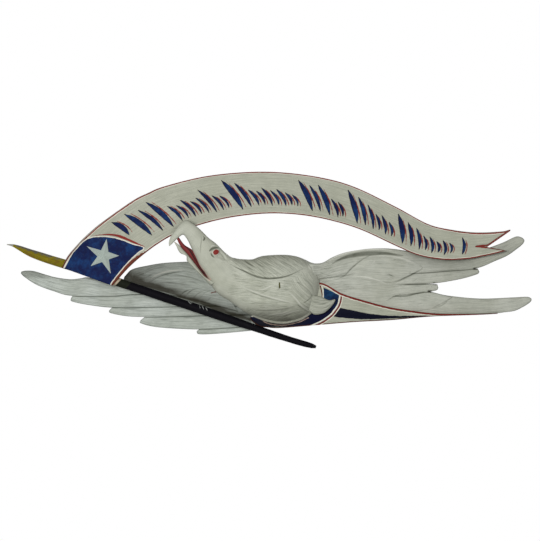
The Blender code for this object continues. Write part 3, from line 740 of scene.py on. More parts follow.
def dirt_and_shade_on_wing(x, z):
    """How dark paint, dirt, painted shade and painted shadow make a wing, from 0 to 1."""
    away = away_from(x, z, STAFF_TOP_LINE, 30)
    above = rise(z - np.interp(x, *np.array(STAFF_TOP_LINE, float).T), -4, 4) * rise(-x, 0, 30)
    # black paint smeared above the staff, darkened further as the staff's painted shadow
    smear_and_shadow = SMEAR_AND_SHADOW_DARKNESS * np.exp(-away / SMEAR_AND_SHADOW_REACH) * above * (1 + 0.2 * waves(x / 24, z / 10, 5))
    # the arm darker towards its top and its left end: dirt and painted shade
    arm = ARM_DIRT_AND_SHADE * above * rise(z, -10, 60) * rise(-x, 120, 280)
    # painted shadows in the notches between the right wing's tips
    spots = np.min([np.hypot(x - spot_x, z - spot_z) for spot_x, spot_z in NOTCH_SHADOW_SPOTS], axis=0)
    notch_shadows = NOTCH_SHADOW_DARKNESS * np.clip(1.6 - spots / NOTCH_SHADOW_REACH, 0, 1)
    # the pennant's painted shadow on the right wing
    under = np.exp(-away_from(x, z, smooth_line(PENNANT_BOTTOM, 60)[38:]) / PENNANT_SHADE_REACH)
    shade = PENNANT_SHADE * under * rise(x, 280, 340) * np.maximum(rise(-x, -520, -450), 0.35)
    return np.clip(smear_and_shadow + arm + shade + notch_shadows, 0, 1)


# Pennant


def pennant_middle(x):
    """The y of the board's middle plane."""
    share = np.clip((x - PENNANT_LEAN_FROM_X) / (PENNANT_LEAN_TO_X - PENNANT_LEAN_FROM_X), 0, 1)
    return PENNANT_HOIST_Y + (PENNANT_FLY_Y - PENNANT_HOIST_Y) * share * share * (3 - 2 * share)


def stroke_fields(board):
    """The distance to the leaf strokes and to the thin shade beside each, negative inside."""
    middle_x = (board.low[:, 0] + board.high[:, 0]) / 2
    stations = np.linspace(0, 1, len(middle_x))
    leaf, shade = np.full(board.x.shape, FAR), np.full(board.x.shape, FAR)

    def place(row, share):
        low = np.array([np.interp(row, stations, board.low[:, k]) for k in range(2)])
        high = np.array([np.interp(row, stations, board.high[:, k]) for k in range(2)])
        return low + (high - low) * share

    for x, foot, head, width in PENNANT_STROKES:
        station = np.interp(x, middle_x, stations)
        shares = np.linspace(foot, head, 9)
        for field, aside, wide in ((leaf, 0.0, width), (shade, width / 2 + SHADE_ASIDE, SHADE_WIDTH)):
            line = []
            for k, share in enumerate(shares):
                bend = STROKE_BOW * math.sin(math.pi * k / 8)
                shift = STROKE_LEAN * (share - 0.5) * 2 + bend + aside
                line.append(place(station + shift / board.u.max(), share - 0.02 * (aside > 0)))
            line = np.array(line)
            low, high = line.min(axis=0) - width - 8, line.max(axis=0) + width + 8
            here = (board.x > low[0]) & (board.x < high[0]) & (board.z > low[1]) & (board.z < high[1])
            away, along = near_line(board.x[here], board.z[here], line)
            half = wide / 2 * np.sin(np.pi * np.clip(along, 0.02, 0.98)) ** 0.75
            field[here] = np.minimum(field[here], away - half)
    return leaf, shade


def pennant(finish):
    """The ribbon with its sunk strokes, and the marks that its painted lines follow."""
    size = sizes()
    spacing = size.point_spacing / MM
    rows = rows_for(PENNANT_TOP, spacing)
    board = Board(PENNANT_BOTTOM, PENNANT_TOP, rows, int(PENNANT_WIDTH / spacing) + 6)
    x, z = board.x, board.z
    notch = away_from(x, z, (TAIL_NOTCH[1], TAIL_NOTCH[0], TAIL_NOTCH[2]))
    below, above = board.t * board.width, (1 - board.t) * board.width
    margin = np.minimum(np.minimum(below, above), notch)
    lines = np.minimum(below - 0.3, above - np.interp(x, *LINE_INSET))
    leaf, shade = stroke_fields(board)
    canton = region_edge(x, z, smooth_line((*CANTON, CANTON[0]), 120)[:-1])
    sunk = size.stroke_depth / MM * np.clip(0.5 - leaf / 1.2, 0, 1)
    grain = barbs(board.u / 1.5, board.v, 900)
    rim = 1.6 * np.clip(1 - np.minimum(margin, board.u) / 2.4, 0, 1) ** 2
    depth = PENNANT_THICK / 2 - pennant_middle(x) - rim - sunk - 0.16 * grain
    depth += 0.4 * waves(x / 110, z / 60, 3) - 0.25 * np.clip(1 - np.abs(canton) / 1.0, 0, 1)
    marks = {
        "cut": 0.5 * grain,
        # darker near the pennant's edges
        "dirt_and_shade": 0.25 * np.clip(1 - margin / 6, 0, 1),
        "lines": lines,
        "hoist_lines": lines + FAR * (x > HOIST_LINES_TO),
        "vee": away_from(x, z, TAIL_LINES),
        "inner_border": below - np.interp(x, *INNER_BORDER_WIDTH) + 1.2 * waves(x / 3, z / 3, 31),
        "canton": canton,
        "band": away_from(x, z, CANTON_BAND, 40) - np.interp(x, *CANTON_BAND_WIDTH) / 2,
        "leaf": leaf,
        "shade": shade,
    }
    bm = bmesh.new()
    board.skin(bm, depth, lambda at: -pennant_middle(at) - PENNANT_THICK / 2, marks)
    made = finished(bm, "pennant_board", [finish])
    cut_out(made, tail_notch())
    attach(made, "root")
    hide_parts("pennant")
    return made


def tail_notch():
    """The wedge that is cut out of the fly, right through the board."""
    bm = bmesh.new()
    corners = [bm.verts.new((x, 0, z)) for x, z in TAIL_NOTCH]
    wedge = bmesh.ops.extrude_face_region(bm, geom=[bm.faces.new(corners)], use_keep_orig=True)["geom"]
    moved = [part for part in wedge if isinstance(part, bmesh.types.BMVert)]
    bmesh.ops.translate(bm, verts=moved, vec=(0, -60, 0))
    return finished(bm, "tail_notch", [])


def cut_out(piece, cutter):
    """Cuts one object out of another for good."""
    step = piece.modifiers.new("cut", "BOOLEAN")
    step.operation = "DIFFERENCE"
    step.object = cutter
    step.solver = "EXACT"
    bpy.context.view_layer.update()
    mesh = bpy.data.meshes.new_from_object(piece.evaluated_get(bpy.context.evaluated_depsgraph_get()))
    piece.modifiers.clear()
    piece.data = mesh
    bpy.data.objects.remove(cutter)


def star(finish):
    """Ten facets that rise to the centre."""
    x0, z0 = STAR_CENTRE
    face = pennant_middle(x0) - PENNANT_THICK / 2
    bm = bmesh.new()
    rim = bmesh.ops.create_circle(bm, segments=10, radius=1, cap_ends=True)["verts"]
    for i, vert in enumerate(sorted(rim, key=lambda v: -math.atan2(v.co.y, v.co.x))):
        angle, radius = STAR_TIPS[i // 2]
        if i % 2:
            after = STAR_TIPS[(i // 2 + 1) % 5][0] - 360 * (i == 9)
            angle, radius = (angle + after) / 2, STAR_INNER_RADIUS
        turn = math.radians(angle)
        vert.co = (x0 + radius * math.cos(turn), face - 0.5, z0 + radius * math.sin(turn))
    flat = bm.faces[:]
    sunk = bmesh.ops.extrude_face_region(bm, geom=flat, use_keep_orig=True)["geom"]
    root = [part for part in sunk if isinstance(part, bmesh.types.BMVert)]
    bmesh.ops.translate(bm, verts=root, vec=(0, 4, 0))
    bmesh.ops.poke(bm, faces=flat)
    peak = min((v for v in bm.verts if len(v.link_edges) == 10), key=lambda v: v.co.y)
    peak.co = (x0, face - STAR_RISE, z0)
    made = finished(bm, "pennant_star", [finish])
    made.data.set_sharp_from_angle(angle=math.radians(4))
    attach(made, "root")
    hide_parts("pennant")
    return made


# Shield


def shield(finish):
    """The convex shield on its side, and the marks that its painted fields follow."""
    board = Board(SHIELD_BOTTOM, SHIELD_TOP, rows_for(SHIELD_TOP, sizes().point_spacing / MM), SHIELD_COLUMNS)
    x, z = board.x, board.z
    share = np.clip((x - SHIELD_LEFT_X) / SHIELD_LENGTH, 0, 1)
    edge, crown = (a + (b - a) * share for a, b in (SHIELD_EDGE_THICK, SHIELD_CROWN))
    grain = barbs(board.u, board.v, 700)
    top = away_from(x, z, board.high)
    chief_line = smooth_line(CHIEF_RIGHT_LINE, 40)
    beyond = x > np.interp(z, *chief_line[::-1, ::-1].T)
    chief_end = away_from(x, z, chief_line) * np.where(beyond, 1, -1)
    chief = np.maximum(region_edge(x, z, CHIEF), chief_end)
    rim = 1.5 * np.clip(1 - top / 2.5, 0, 1) ** 2
    depth = edge + crown * (1 - np.abs(2 * board.t - 1) ** 2.2) - rim - 0.22 * grain
    marks = {
        "cut": 0.7 * grain,
        # darker towards the shield's lower left end, under the body
        "dirt_and_shade": 0.4 * np.clip((-60 - z) / 16, 0, 1) * np.clip((100 - x) / 60, 0, 1),
        "top": top,
        "bottom": away_from(x, z, board.low),
        "chief": chief,
        "chief_low": np.maximum(chief, z - CHIEF_DARK_BELOW + 3 * waves(x / 7, z / 7, 8)),
        "chief_right": chief_end,
        "chief_left": away_from(x, z, CHIEF_LEFT_LINE),
        "left_border": away_from(x, z, CHIEF_LEFT_BORDER),
        "under": away_from(x, z, UNDER_LINE, 40),
        "wedge": region_edge(x, z, WEDGE),
    }
    bm = bmesh.new()
    board.skin(bm, depth, flat_back(), marks)
    made = finished(bm, "striped_shield", [finish])
    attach(made, "root")
    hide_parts("shield")
    return made


# Staff


def rod_rings(line, half_widths, half_depths, sides, square=1.0):
    """Rings around a line in the staff's plane. square below 1 makes the section pointed."""
    ahead = np.gradient(line, axis=0)
    side = np.column_stack([-ahead[:, 1], ahead[:, 0]]) / np.linalg.norm(ahead, axis=1)[:, None]
    turn = np.linspace(0, 2 * np.pi, sides, endpoint=False)[None, :]
    reach = (np.abs(np.cos(turn)) ** (2 / square) + np.abs(np.sin(turn)) ** (2 / square)) ** (-square / 2)
    wide = half_widths[:, None] * reach * np.cos(turn)
    deep = half_depths[:, None] * reach * np.sin(turn)
    return np.stack([line[:, :1] + side[:, :1] * wide, STAFF_Y - deep, line[:, 1:] + side[:, 1:] * wide], axis=2)


def staff(finish):
    """The round staff, a little uneven, with marks for its scratches and its bare patch."""
    line = smooth_line(STAFF_AXIS, STAFF_ROWS)
    radii = STAFF_RADIUS * np.interp(line[:, 0], *STAFF_TAPER)
    run = np.arange(len(line)) * 1.5
    radii += 0.25 * waves(run / 40, run * 0, 11) + 0.12 * waves(run / 9, run * 0, 12)
    rings = rod_rings(line, radii, radii, 36)
    rows, sides = rings.shape[:2]
    around = np.repeat(np.arange(sides)[None, :], rows, axis=0) * 1.7
    along = np.repeat(run[:, None], sides, axis=1)
    rings[:, :, 1] += 0.18 * waves(along / 30, around / 4, 13)
    x, z = rings[:, :, 0], rings[:, :, 2]
    scratches = np.min([away_from(x, z, scratch) for scratch in STAFF_SCRATCHES], axis=0)
    marks = {
        "flow_u": along,
        "flow_v": around,
        "scratch": scratches,
        "patch": 0.72 * (x - STAFF_PATCH[0] - STAFF_PATCH[1] * z),
    }
    bm = bmesh.new()
    add_skin(bm, rings, marks)
    made = finished(bm, "black_staff", [finish])
    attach(made, "root")
    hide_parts("flagstaff")
    return made


def spear(finish):
    """The spear point, with marks for its worn gilding, the painted shade on its upper edge and the painted highlight
    on its tip.
    """
    table = np.column_stack([np.array(SPEAR_AXIS, float), np.array(SPEAR_HALF_WIDTHS)])
    fine = smooth_line(table, SPEAR_ROWS, measured=2)
    line, widths = fine[:, :2], fine[:, 2]
    rings = rod_rings(line, widths, widths * SPEAR_DEPTH_SHARE, 32, square=1.7)
    rows, sides = rings.shape[:2]
    along = np.repeat(np.arange(rows)[:, None] * 1.1, sides, axis=1)
    side = np.repeat(np.cos(np.linspace(0, 2 * np.pi, sides, endpoint=False))[None, :], rows, axis=0)
    marks = {
        "flow_u": along,
        "flow_v": side * 10,
        # painted shade on the upper side, narrowing towards the staff
        "upper": side - 0.95 * np.linspace(0, 1, rows)[:, None],
        # painted highlight on the tip
        "tip": along,
        "mottle": waves(along / 26, side * 1.2 + 40, 61) + 0.25 * waves(along / 6, side * 3 + 40, 62),
    }
    bm = bmesh.new()
    add_skin(bm, rings, marks)
    made = finished(bm, "gilded_spear", [finish])
    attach(made, "root")
    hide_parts("flagstaff")
    return made


# Body


def ribbed(ribs, rows, columns):
    """Rings through rounded sections, each standing on a line from its lower to its upper contour.

    The beak's sections are flatter in front than the body's. Gives the rings and, for each point, how far forward
    it faces, from -1 at the back to 1 at the front.
    """
    table = smooth_line(ribs, rows, measured=4)
    turn = np.concatenate([
        np.linspace(0, np.pi, columns * 3 // 4, endpoint=False),
        np.linspace(np.pi, 2 * np.pi, columns - columns * 3 // 4, endpoint=False),
    ])[None, :]
    low_x, low_z, high_x, high_z, middle, front, behind, square = (column[:, None] for column in table.T)
    share, forward = 0.5 - 0.5 * np.cos(turn), np.sin(turn)
    roundness = np.interp(low_x, FLAT_BEAK_X, (0.6, 1.0))
    level = np.abs(forward)
    y = np.where(forward >= 0, middle - front * level**roundness, middle + behind * level**square)
    x, z = low_x + (high_x - low_x) * share, low_z + (high_z - low_z) * share
    return np.stack([x, np.minimum(y, 0), z], axis=2), np.repeat(forward, rows, axis=0)


def outward(rings):
    """The unit normals of a closed skin of rings, away from its inside."""
    along = np.gradient(rings, axis=0)
    around = np.roll(rings, -1, axis=1) - np.roll(rings, 1, axis=1)
    normal = np.cross(along, around)
    normal /= np.maximum(np.linalg.norm(normal, axis=2), 1e-6)[:, :, None]
    inward = (rings.mean(axis=1)[:, None] - rings) * normal
    return normal * np.where(inward.sum(axis=(1, 2)) > 0, -1, 1)[:, None, None]


def flow_of(rings):
    """How far each point is along the skin and around it, in millimetres."""
    run = run_along(rings.mean(axis=1))
    steps = np.linalg.norm(np.diff(rings, axis=1), axis=2)
    round_it = np.concatenate([np.zeros((len(rings), 1)), np.cumsum(steps, axis=1)], axis=1)
    middle = round_it[:, rings.shape[1] * 3 // 8][:, None]
    return np.repeat(run[:, None], rings.shape[1], axis=1), round_it - middle


def carved_form(name, ribs, rows, columns, finish, relief=None, seed=0, barb_share=1.0):
    """A form in the round with its carved relief. relief(x, z) gives swells and cuts on its front."""
    rings, forward = ribbed(ribs, rows, columns)
    u, v = flow_of(rings)
    x, z = rings[:, :, 0], rings[:, :, 2]
    facing = np.clip(forward * 4, 0, 1)
    swell, carved = relief(x, z) if relief else (np.zeros(x.shape), np.zeros(x.shape))
    if relief:
        u, v, lines, plain = body_strokes(x, z, u, v, seed)
    else:
        lines, plain = barbs(u, v + 0.1 * u, seed) * barb_share, 0.8
    lines *= facing
    raised = (swell - carved) * facing - sizes().barb_depth / MM * lines
    rings = rings + outward(rings) * raised[:, :, None]
    rings[:, :, 1] = np.minimum(rings[:, :, 1], 0)
    off_front = 9 * (facing < 0.2)
    rim = away_from(x, z, BELLY_RIM, 50) + off_front
    marks = {
        "flow_u": u,
        "flow_v": v,
        "edge": np.full(x.shape, UNPAINTED["edge"]),
        "cut": (np.maximum(carved, 0) + 0.7 * lines) * facing,
        "ridge": np.maximum(-carved, 0) * facing,
        # painted shade on the body's top and underside, less of it at the belly's pale rim
        "dirt_and_shade": body_painted_shade(x, z) * np.clip(rim / 2.5 - 0.6, 0.1, 1),
        "eye": eye_distance(x, z) + FAR * (facing < 0.5),
        "crease_shade": away_from(x, z, MOUTH_CREASE) - np.interp(z, *MOUTH_CREASE_WIDTH) / 2,
        "lip_highlight": np.minimum(away_from(x, z, UPPER_LIP), away_from(x, z, LOWER_LIP)) + off_front,
        "rim": rim,
        "check": away_from(x, z, CHECK) + off_front,
        "back": np.clip(1 + rings[:, :, 1] / 1.5, 0, 1),
        "plain": plain + 0 * x,
    }
    bm = bmesh.new()
    add_skin(bm, rings, marks)
    made = finished(bm, name, [finish])
    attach(made, "root")
    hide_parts("eagle_body")
    return made


def body_painted_shade(x, z):
    """How painted shade darkens the top and the underside of the body."""
    return (TOP_SHADE * rise(z, 44, 80) + UNDER_SHADE * rise(-z, 26, 70)) * rise(x, -90, -50)


def eye_distance(x, z):
    """The distance from the eye's centre, along an oval that leans up to the right."""
    along = (x - EYE[0]) * math.cos(EYE_LEAN) + (z - EYE[1]) * math.sin(EYE_LEAN)
    over = (z - EYE[1]) * math.cos(EYE_LEAN) - (x - EYE[0]) * math.sin(EYE_LEAN)
    return np.hypot(along / EYE_STRETCH, over)


def body_relief(x, z):
    """How far the shoulder, the eye's socket and its ball swell, and how deep the cuts are."""
    swell = SHOULDER_RISE * np.clip(0.5 - region_edge(x, z, SHOULDER) / SHOULDER_SOFTNESS, 0, 1)
    swell -= SOCKET_DEPTH * np.clip(0.5 - region_edge(x, z, EYE_SOCKET) / 5, 0, 1)
    swell += EYE_RISE * np.sqrt(np.clip(1 - (eye_distance(x, z) / (EYE[2] + 2)) ** 2, 0, 1))
    return swell, cuts_at(x, z, BODY_CUTS)


def body_strokes(x, z, u, v, seed):
    """The fine strokes of each part of the body, with the way they run, and how plain the rest is."""
    lines = NECK_STROKES * barbs(u, v, seed)
    plain = np.ones(x.shape)
    for k, (outline, soft, way, strength) in enumerate(BODY_STROKES):
        amount = np.clip(0.5 - region_edge(x, z, outline) / soft, 0, 1)
        if isinstance(way, tuple):
            across_it = np.hypot(x - way[0], z - way[1])
            along = np.arctan2(z - way[1], -(x - way[0])) * 50
        else:
            turn = math.radians(way)
            along, across_it = x * math.cos(turn) + z * math.sin(turn), z * math.cos(turn) - x * math.sin(turn)
        lines = lines * (1 - amount) + strength * amount * barbs(along * 1.7, across_it, seed + 10 * k + 5)
        inside = amount > 0.5
        u, v = np.where(inside, along * 1.3, u), np.where(inside, across_it, v)
        plain = plain * (1 - amount)
    return u, v, lines, plain


def thigh_tuft(finish):
    """The tuft of feathers behind the thigh, a small board with curved cuts."""
    board = Board(*TUFT, 60, 40)
    thick = TUFT_THICK[0] + (TUFT_THICK[1] - TUFT_THICK[0]) * board.s
    locks = barbs(board.u * 1.2, board.v * 0.8 + 0.25 * board.u, 77)
    rim = 3.0 * np.clip(1 - board.edge / 5, 0, 1) ** 2
    locks += np.maximum(cuts_at(board.x, board.z, TUFT_CUTS), 0)
    depth = thick + 2.0 * (1 - (2 * board.t - 1) ** 2) - rim - 0.5 * locks
    marks = {"cut": 0.5 * locks, "dirt_and_shade": np.full(board.x.shape, TUFT_SHADE)}
    marks |= {name: np.full(board.x.shape, FAR) for name in ("eye", "lip_highlight", "rim", "check")}
    bm = bmesh.new()
    board.skin(bm, depth, flat_back(TUFT_BACK), marks)
    made = finished(bm, "thigh_tuft", [finish])
    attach(made, "root")
    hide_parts("eagle_body")
    return made


# Finishes


class Nodes:
    """Adds shader nodes to one tree and joins them."""

    def __init__(self, tree):
        self.tree = tree

    def put(self, kind, sockets=(), **settings):
        """A new node with these settings, its inputs fed with values or joined to other nodes."""
        node = self.tree.nodes.new(kind)
        for name, value in settings.items():
            setattr(node, name, value)
        for name, value in dict(sockets).items():
            self.feed(node.inputs[name], value)
        return node

    def feed(self, socket, value):
        """Joins a socket to a node's output, or gives it a plain value."""
        if isinstance(value, bpy.types.NodeSocket):
            self.tree.links.new(value, socket)
        else:
            socket.default_value = value

    def mark(self, name):
        """A mark that the mesh carries at each point, 0 where it has none."""
        return self.put("ShaderNodeAttribute", attribute_name=name).outputs["Fac"]

    def math(self, operation, first, second=0.0, third=0.0):
        """The result of one sum on numbers or sockets."""
        return self.put("ShaderNodeMath", {0: first, 1: second, 2: third}, operation=operation).outputs[0]

    def ramp(self, value, start, stop, low=0.0, high=1.0):
        """low before start and high after stop, with a smooth rise between them."""
        sockets = {"Value": value, "From Min": start, "From Max": stop, "To Min": low, "To Max": high}
        node = self.put("ShaderNodeMapRange", sockets, interpolation_type="SMOOTHSTEP")
        return node.outputs["Result"]

    def mix(self, amount, first, second, blend="MIX"):
        """Two colours mixed, or joined in another blend mode."""
        sockets = {0: amount, 6: first, 7: second}
        return self.put("ShaderNodeMix", sockets, data_type="RGBA", blend_type=blend).outputs[2]

    def noise(self, vector, scale, detail=3.0, rough=0.55):
        """Smooth noise at this place, about 0.5 on average."""
        sockets = {"Vector": vector, "Scale": scale, "Detail": detail, "Roughness": rough}
        return self.put("ShaderNodeTexNoise", sockets).outputs["Fac"]

    def stretched(self, along, over):
        """A place in the carving's own flow, so many millimetres a unit along and across it."""
        u = self.math("DIVIDE", self.mark("flow_u"), along)
        v = self.math("DIVIDE", self.mark("flow_v"), over)
        return self.put("ShaderNodeCombineXYZ", {"X": u, "Y": v}).outputs[0]

    def place(self):
        """Each point's place in metres."""
        return self.put("ShaderNodeTexCoord").outputs["Object"]


def shader_group(name, inputs, outputs):
    """A new node group with its sockets, and its input and output nodes."""
    group = bpy.data.node_groups.new(name, "ShaderNodeTree")
    for socket, kind in inputs:
        group.interface.new_socket(socket, in_out="INPUT", socket_type=f"NodeSocket{kind}")
    for socket, kind in outputs:
        group.interface.new_socket(socket, in_out="OUTPUT", socket_type=f"NodeSocket{kind}")
    nodes = Nodes(group)
    return group, nodes, nodes.put("NodeGroupInput"), nodes.put("NodeGroupOutput")


def aged_paint():
    """Hand-brushed paint that has darkened in its cuts and worn pale on its ridges. The pale is also painted
    highlight, and painted shade, with dirt, darkens its rims, its seams and its shaded parts.
    """
    group, nodes, given, result = shader_group(
        "aged_paint",
        (("Colour", "Color"), ("GrimeAndShade", "Color"), ("WornAndHighlight", "Color"), ("Age", "Float")),
        (("Colour", "Color"), ("Roughness", "Float"), ("Height", "Float")),
    )
    place, age = nodes.place(), given.outputs["Age"]
    clouds = nodes.noise(place, 9.0, 4.0)
    blotches = nodes.noise(place, 42.0, 5.0, 0.62)
    brushed = nodes.noise(nodes.stretched(70.0, 2.2), 1.0, 4.0, 0.62)
    hairs = nodes.noise(nodes.stretched(30.0, 0.85), 1.0, 3.0, 0.6)
    streaky = nodes.math("MULTIPLY", age, nodes.math("SUBTRACT", 1.0, nodes.math("MULTIPLY", nodes.mark("plain"), 0.8)))
    tone = nodes.mix(nodes.ramp(clouds, 0.35, 0.68), (0.91, 0.91, 0.87, 1), (1.05, 1.05, 1.04, 1))
    colour = nodes.mix(age, given.outputs["Colour"], nodes.mix(1.0, given.outputs["Colour"], tone, "MULTIPLY"))
    patch = nodes.mix(nodes.ramp(blotches, 0.36, 0.62), (0.95, 0.955, 0.945, 1), (1.04, 1.04, 1.035, 1))
    colour = nodes.mix(age, colour, nodes.mix(1.0, colour, patch, "MULTIPLY"))
    streak = nodes.mix(nodes.ramp(brushed, 0.38, 0.62), (0.80, 0.81, 0.80, 1), (1.12, 1.12, 1.11, 1))
    colour = nodes.mix(streaky, colour, nodes.mix(1.0, colour, streak, "MULTIPLY"))
    hair = nodes.math("MULTIPLY", nodes.ramp(hairs, 0.38, 0.47, 0.55, 0.0), streaky)
    cut = nodes.ramp(nodes.mark("cut"), 0.2, 1.35)
    grime_and_shade = nodes.math("MULTIPLY", cut, nodes.ramp(blotches, 0.3, 0.7, 0.75, 1.0))
    grime_and_shade = nodes.math("MAXIMUM", grime_and_shade, hair)
    # painted shade along every board's rim, with dirt
    rim = nodes.math("MULTIPLY", nodes.ramp(nodes.mark("edge"), 0.2, 1.5, 0.6, 0.0), nodes.ramp(blotches, 0.2, 0.5))
    grime_and_shade = nodes.math("MAXIMUM", grime_and_shade, rim)
    speck = nodes.ramp(nodes.noise(place, 330.0, 2.0, 0.5), 0.68, 0.75, 0.0, 0.7)
    grime_and_shade = nodes.math("MAXIMUM", grime_and_shade, nodes.math("MULTIPLY", speck, nodes.ramp(clouds, 0.45, 0.62)))
    darkened_colour = nodes.mix(1.0, colour, given.outputs["GrimeAndShade"], "MULTIPLY")
    colour = nodes.mix(nodes.math("MULTIPLY", grime_and_shade, age), colour, darkened_colour)
    # the pale worn colour on the raised lines, which is also painted highlight on them
    worn = nodes.math("MULTIPLY", nodes.ramp(nodes.mark("ridge"), 0.15, 1.2, 0.0, 0.6), age)
    colour = nodes.mix(worn, colour, given.outputs["WornAndHighlight"])
    # dirt and painted shade darken the paint towards a near-black brown
    dirt_and_shade_amount = nodes.math("MULTIPLY", nodes.mark("dirt_and_shade"), nodes.ramp(blotches, 0.2, 0.7, 0.85, 1.1))
    colour = nodes.mix(nodes.math("MINIMUM", dirt_and_shade_amount, 0.97), colour, (0.022, 0.020, 0.012, 1))
    rough = nodes.math("ADD", nodes.ramp(brushed, 0.3, 0.7, 0.46, 0.62), nodes.math("MULTIPLY", grime_and_shade, 0.25))
    height = nodes.math("MULTIPLY_ADD", hairs, 0.35, nodes.math("MULTIPLY", brushed, 0.65))
    calm = nodes.math("MULTIPLY_ADD", streaky, 0.85, 0.15)
    along_grain = nodes.put("ShaderNodeMapping", {"Vector": place, "Scale": (5, 5, 140)}).outputs[0]
    grain = nodes.noise(along_grain, 1.0, 5.0, 0.6)
    wood = nodes.mix(nodes.ramp(grain, 0.3, 0.7), (0.10, 0.068, 0.042, 1), (0.21, 0.16, 0.11, 1))
    colour = nodes.mix(nodes.mark("back"), colour, wood)
    nodes.feed(result.inputs["Colour"], colour)
    nodes.feed(result.inputs["Roughness"], rough)
    nodes.feed(result.inputs["Height"], nodes.math("MULTIPLY", height, calm))
    return group


def painted_shape():
    """Lays one colour over another inside a painted edge that wavers as a hand-drawn one does."""
    group, nodes, given, result = shader_group(
        "painted_shape",
        (("Under", "Color"), ("Over", "Color"), ("Distance", "Float"), ("From", "Float"), ("To", "Float")),
        (("Colour", "Color"),),
    )
    waver = nodes.ramp(nodes.noise(nodes.place(), 120.0, 2.0), 0.3, 0.7, -0.35, 0.35)
    away = nodes.math("ADD", given.outputs["Distance"], waver)
    soft = 0.35
    after = nodes.ramp(nodes.math("SUBTRACT", away, given.outputs["From"]), -soft, soft)
    before = nodes.ramp(nodes.math("SUBTRACT", given.outputs["To"], away), -soft, soft)
    worn = nodes.ramp(nodes.noise(nodes.place(), 260.0, 4.0, 0.7), 0.30, 0.42, 0.98, 1.0)
    amount = nodes.math("MULTIPLY", nodes.math("MULTIPLY", after, before), worn)
    nodes.feed(result.inputs["Colour"], nodes.mix(amount, given.outputs["Under"], given.outputs["Over"]))
    return group


def group_called(name, maker):
    """The node group of this name, made the first time it is asked for."""
    return bpy.data.node_groups.get(name) or maker()


def painted(name, ground, layers=(), age=1.0, bump=0.6, shine=0.12):
    """A material: a ground colour, painted shapes over it, and age over everything.

    A layer is (attribute, from, to, colour): the colour lies where the attribute is between the two values. A pair
    of colours is mottled.
    bump is how deep the brush marks are in millimetres.
    """
    made = bpy.data.materials.new(name)
    made.use_nodes = True
    nodes = Nodes(made.node_tree)
    shader = made.node_tree.nodes["Principled BSDF"]
    colour = (*ground, 1.0)
    for mark, start, stop, paint in layers:
        shape = nodes.put("ShaderNodeGroup", node_tree=group_called("painted_shape", painted_shape))
        over = mottled(nodes, *paint) if isinstance(paint[0], tuple) else (*paint, 1.0)
        sockets = {"Under": colour, "Over": over, "Distance": nodes.mark(mark), "From": start, "To": stop}
        for socket, value in sockets.items():
            nodes.feed(shape.inputs[socket], value)
        colour = shape.outputs["Colour"]
    aged = nodes.put("ShaderNodeGroup", node_tree=group_called("aged_paint", aged_paint))
    given = {"Colour": colour, "GrimeAndShade": (*colours().grime_and_shade_tint, 1.0), "WornAndHighlight": (*colours().worn, 1.0), "Age": age}
    for socket, value in given.items():
        nodes.feed(aged.inputs[socket], value)
    relief = nodes.put("ShaderNodeBump", {"Height": aged.outputs["Height"], "Strength": 0.8, "Distance": bump * MM})
    nodes.feed(shader.inputs["Base Color"], aged.outputs["Colour"])
    nodes.feed(shader.inputs["Roughness"], aged.outputs["Roughness"])
    nodes.feed(shader.inputs["Normal"], relief.outputs["Normal"])
    shader.inputs["Specular IOR Level"].default_value = shine
    return made


def mottled(nodes, paint, faded):
    """A paint with blotches where it has faded."""
    blotch = nodes.ramp(nodes.noise(nodes.place(), 38.0, 6.0, 0.7), 0.42, 0.70)
    return nodes.mix(blotch, (*paint, 1.0), (*faded, 1.0))


def navies():
    """The dark blue and its faded tone, as mottled paint takes them."""
    return tuple(colours().navy), tuple(colours().faded_navy)


# Settings, operators and the panel


class EagleSizes(bpy.types.PropertyGroup):
    """Sizes of the carving that a user may want to change"""

    feather_step: FloatProperty(
        name="Feather step", description="How much deeper each feather lies", default=0.0016, unit="LENGTH"
    )
    rim_drop: FloatProperty(
        name="Rim drop", description="How far a feather's rim falls away", default=0.0024, unit="LENGTH"
    )
    rim_width: FloatProperty(
        name="Rim width", description="How wide a feather's rounded rim is", default=0.0036, unit="LENGTH"
    )
    crown: FloatProperty(
        name="Crown", description="How far a feather's middle stands up", default=0.0016, unit="LENGTH"
    )
    barb_depth: FloatProperty(
        name="Barb depth", description="How deep the fine carved lines are", default=0.0005, unit="LENGTH"
    )
    stroke_depth: FloatProperty(
        name="Stroke depth", description="How deep the pennant's strokes are", default=0.0005, unit="LENGTH"
    )
    point_spacing: FloatProperty(
        name="Point spacing", description="How far apart a carved face's points are", default=0.0014, unit="LENGTH"
    )
    body_rows: IntProperty(name="Body rows", description="How many rings the body has", default=300, min=40)


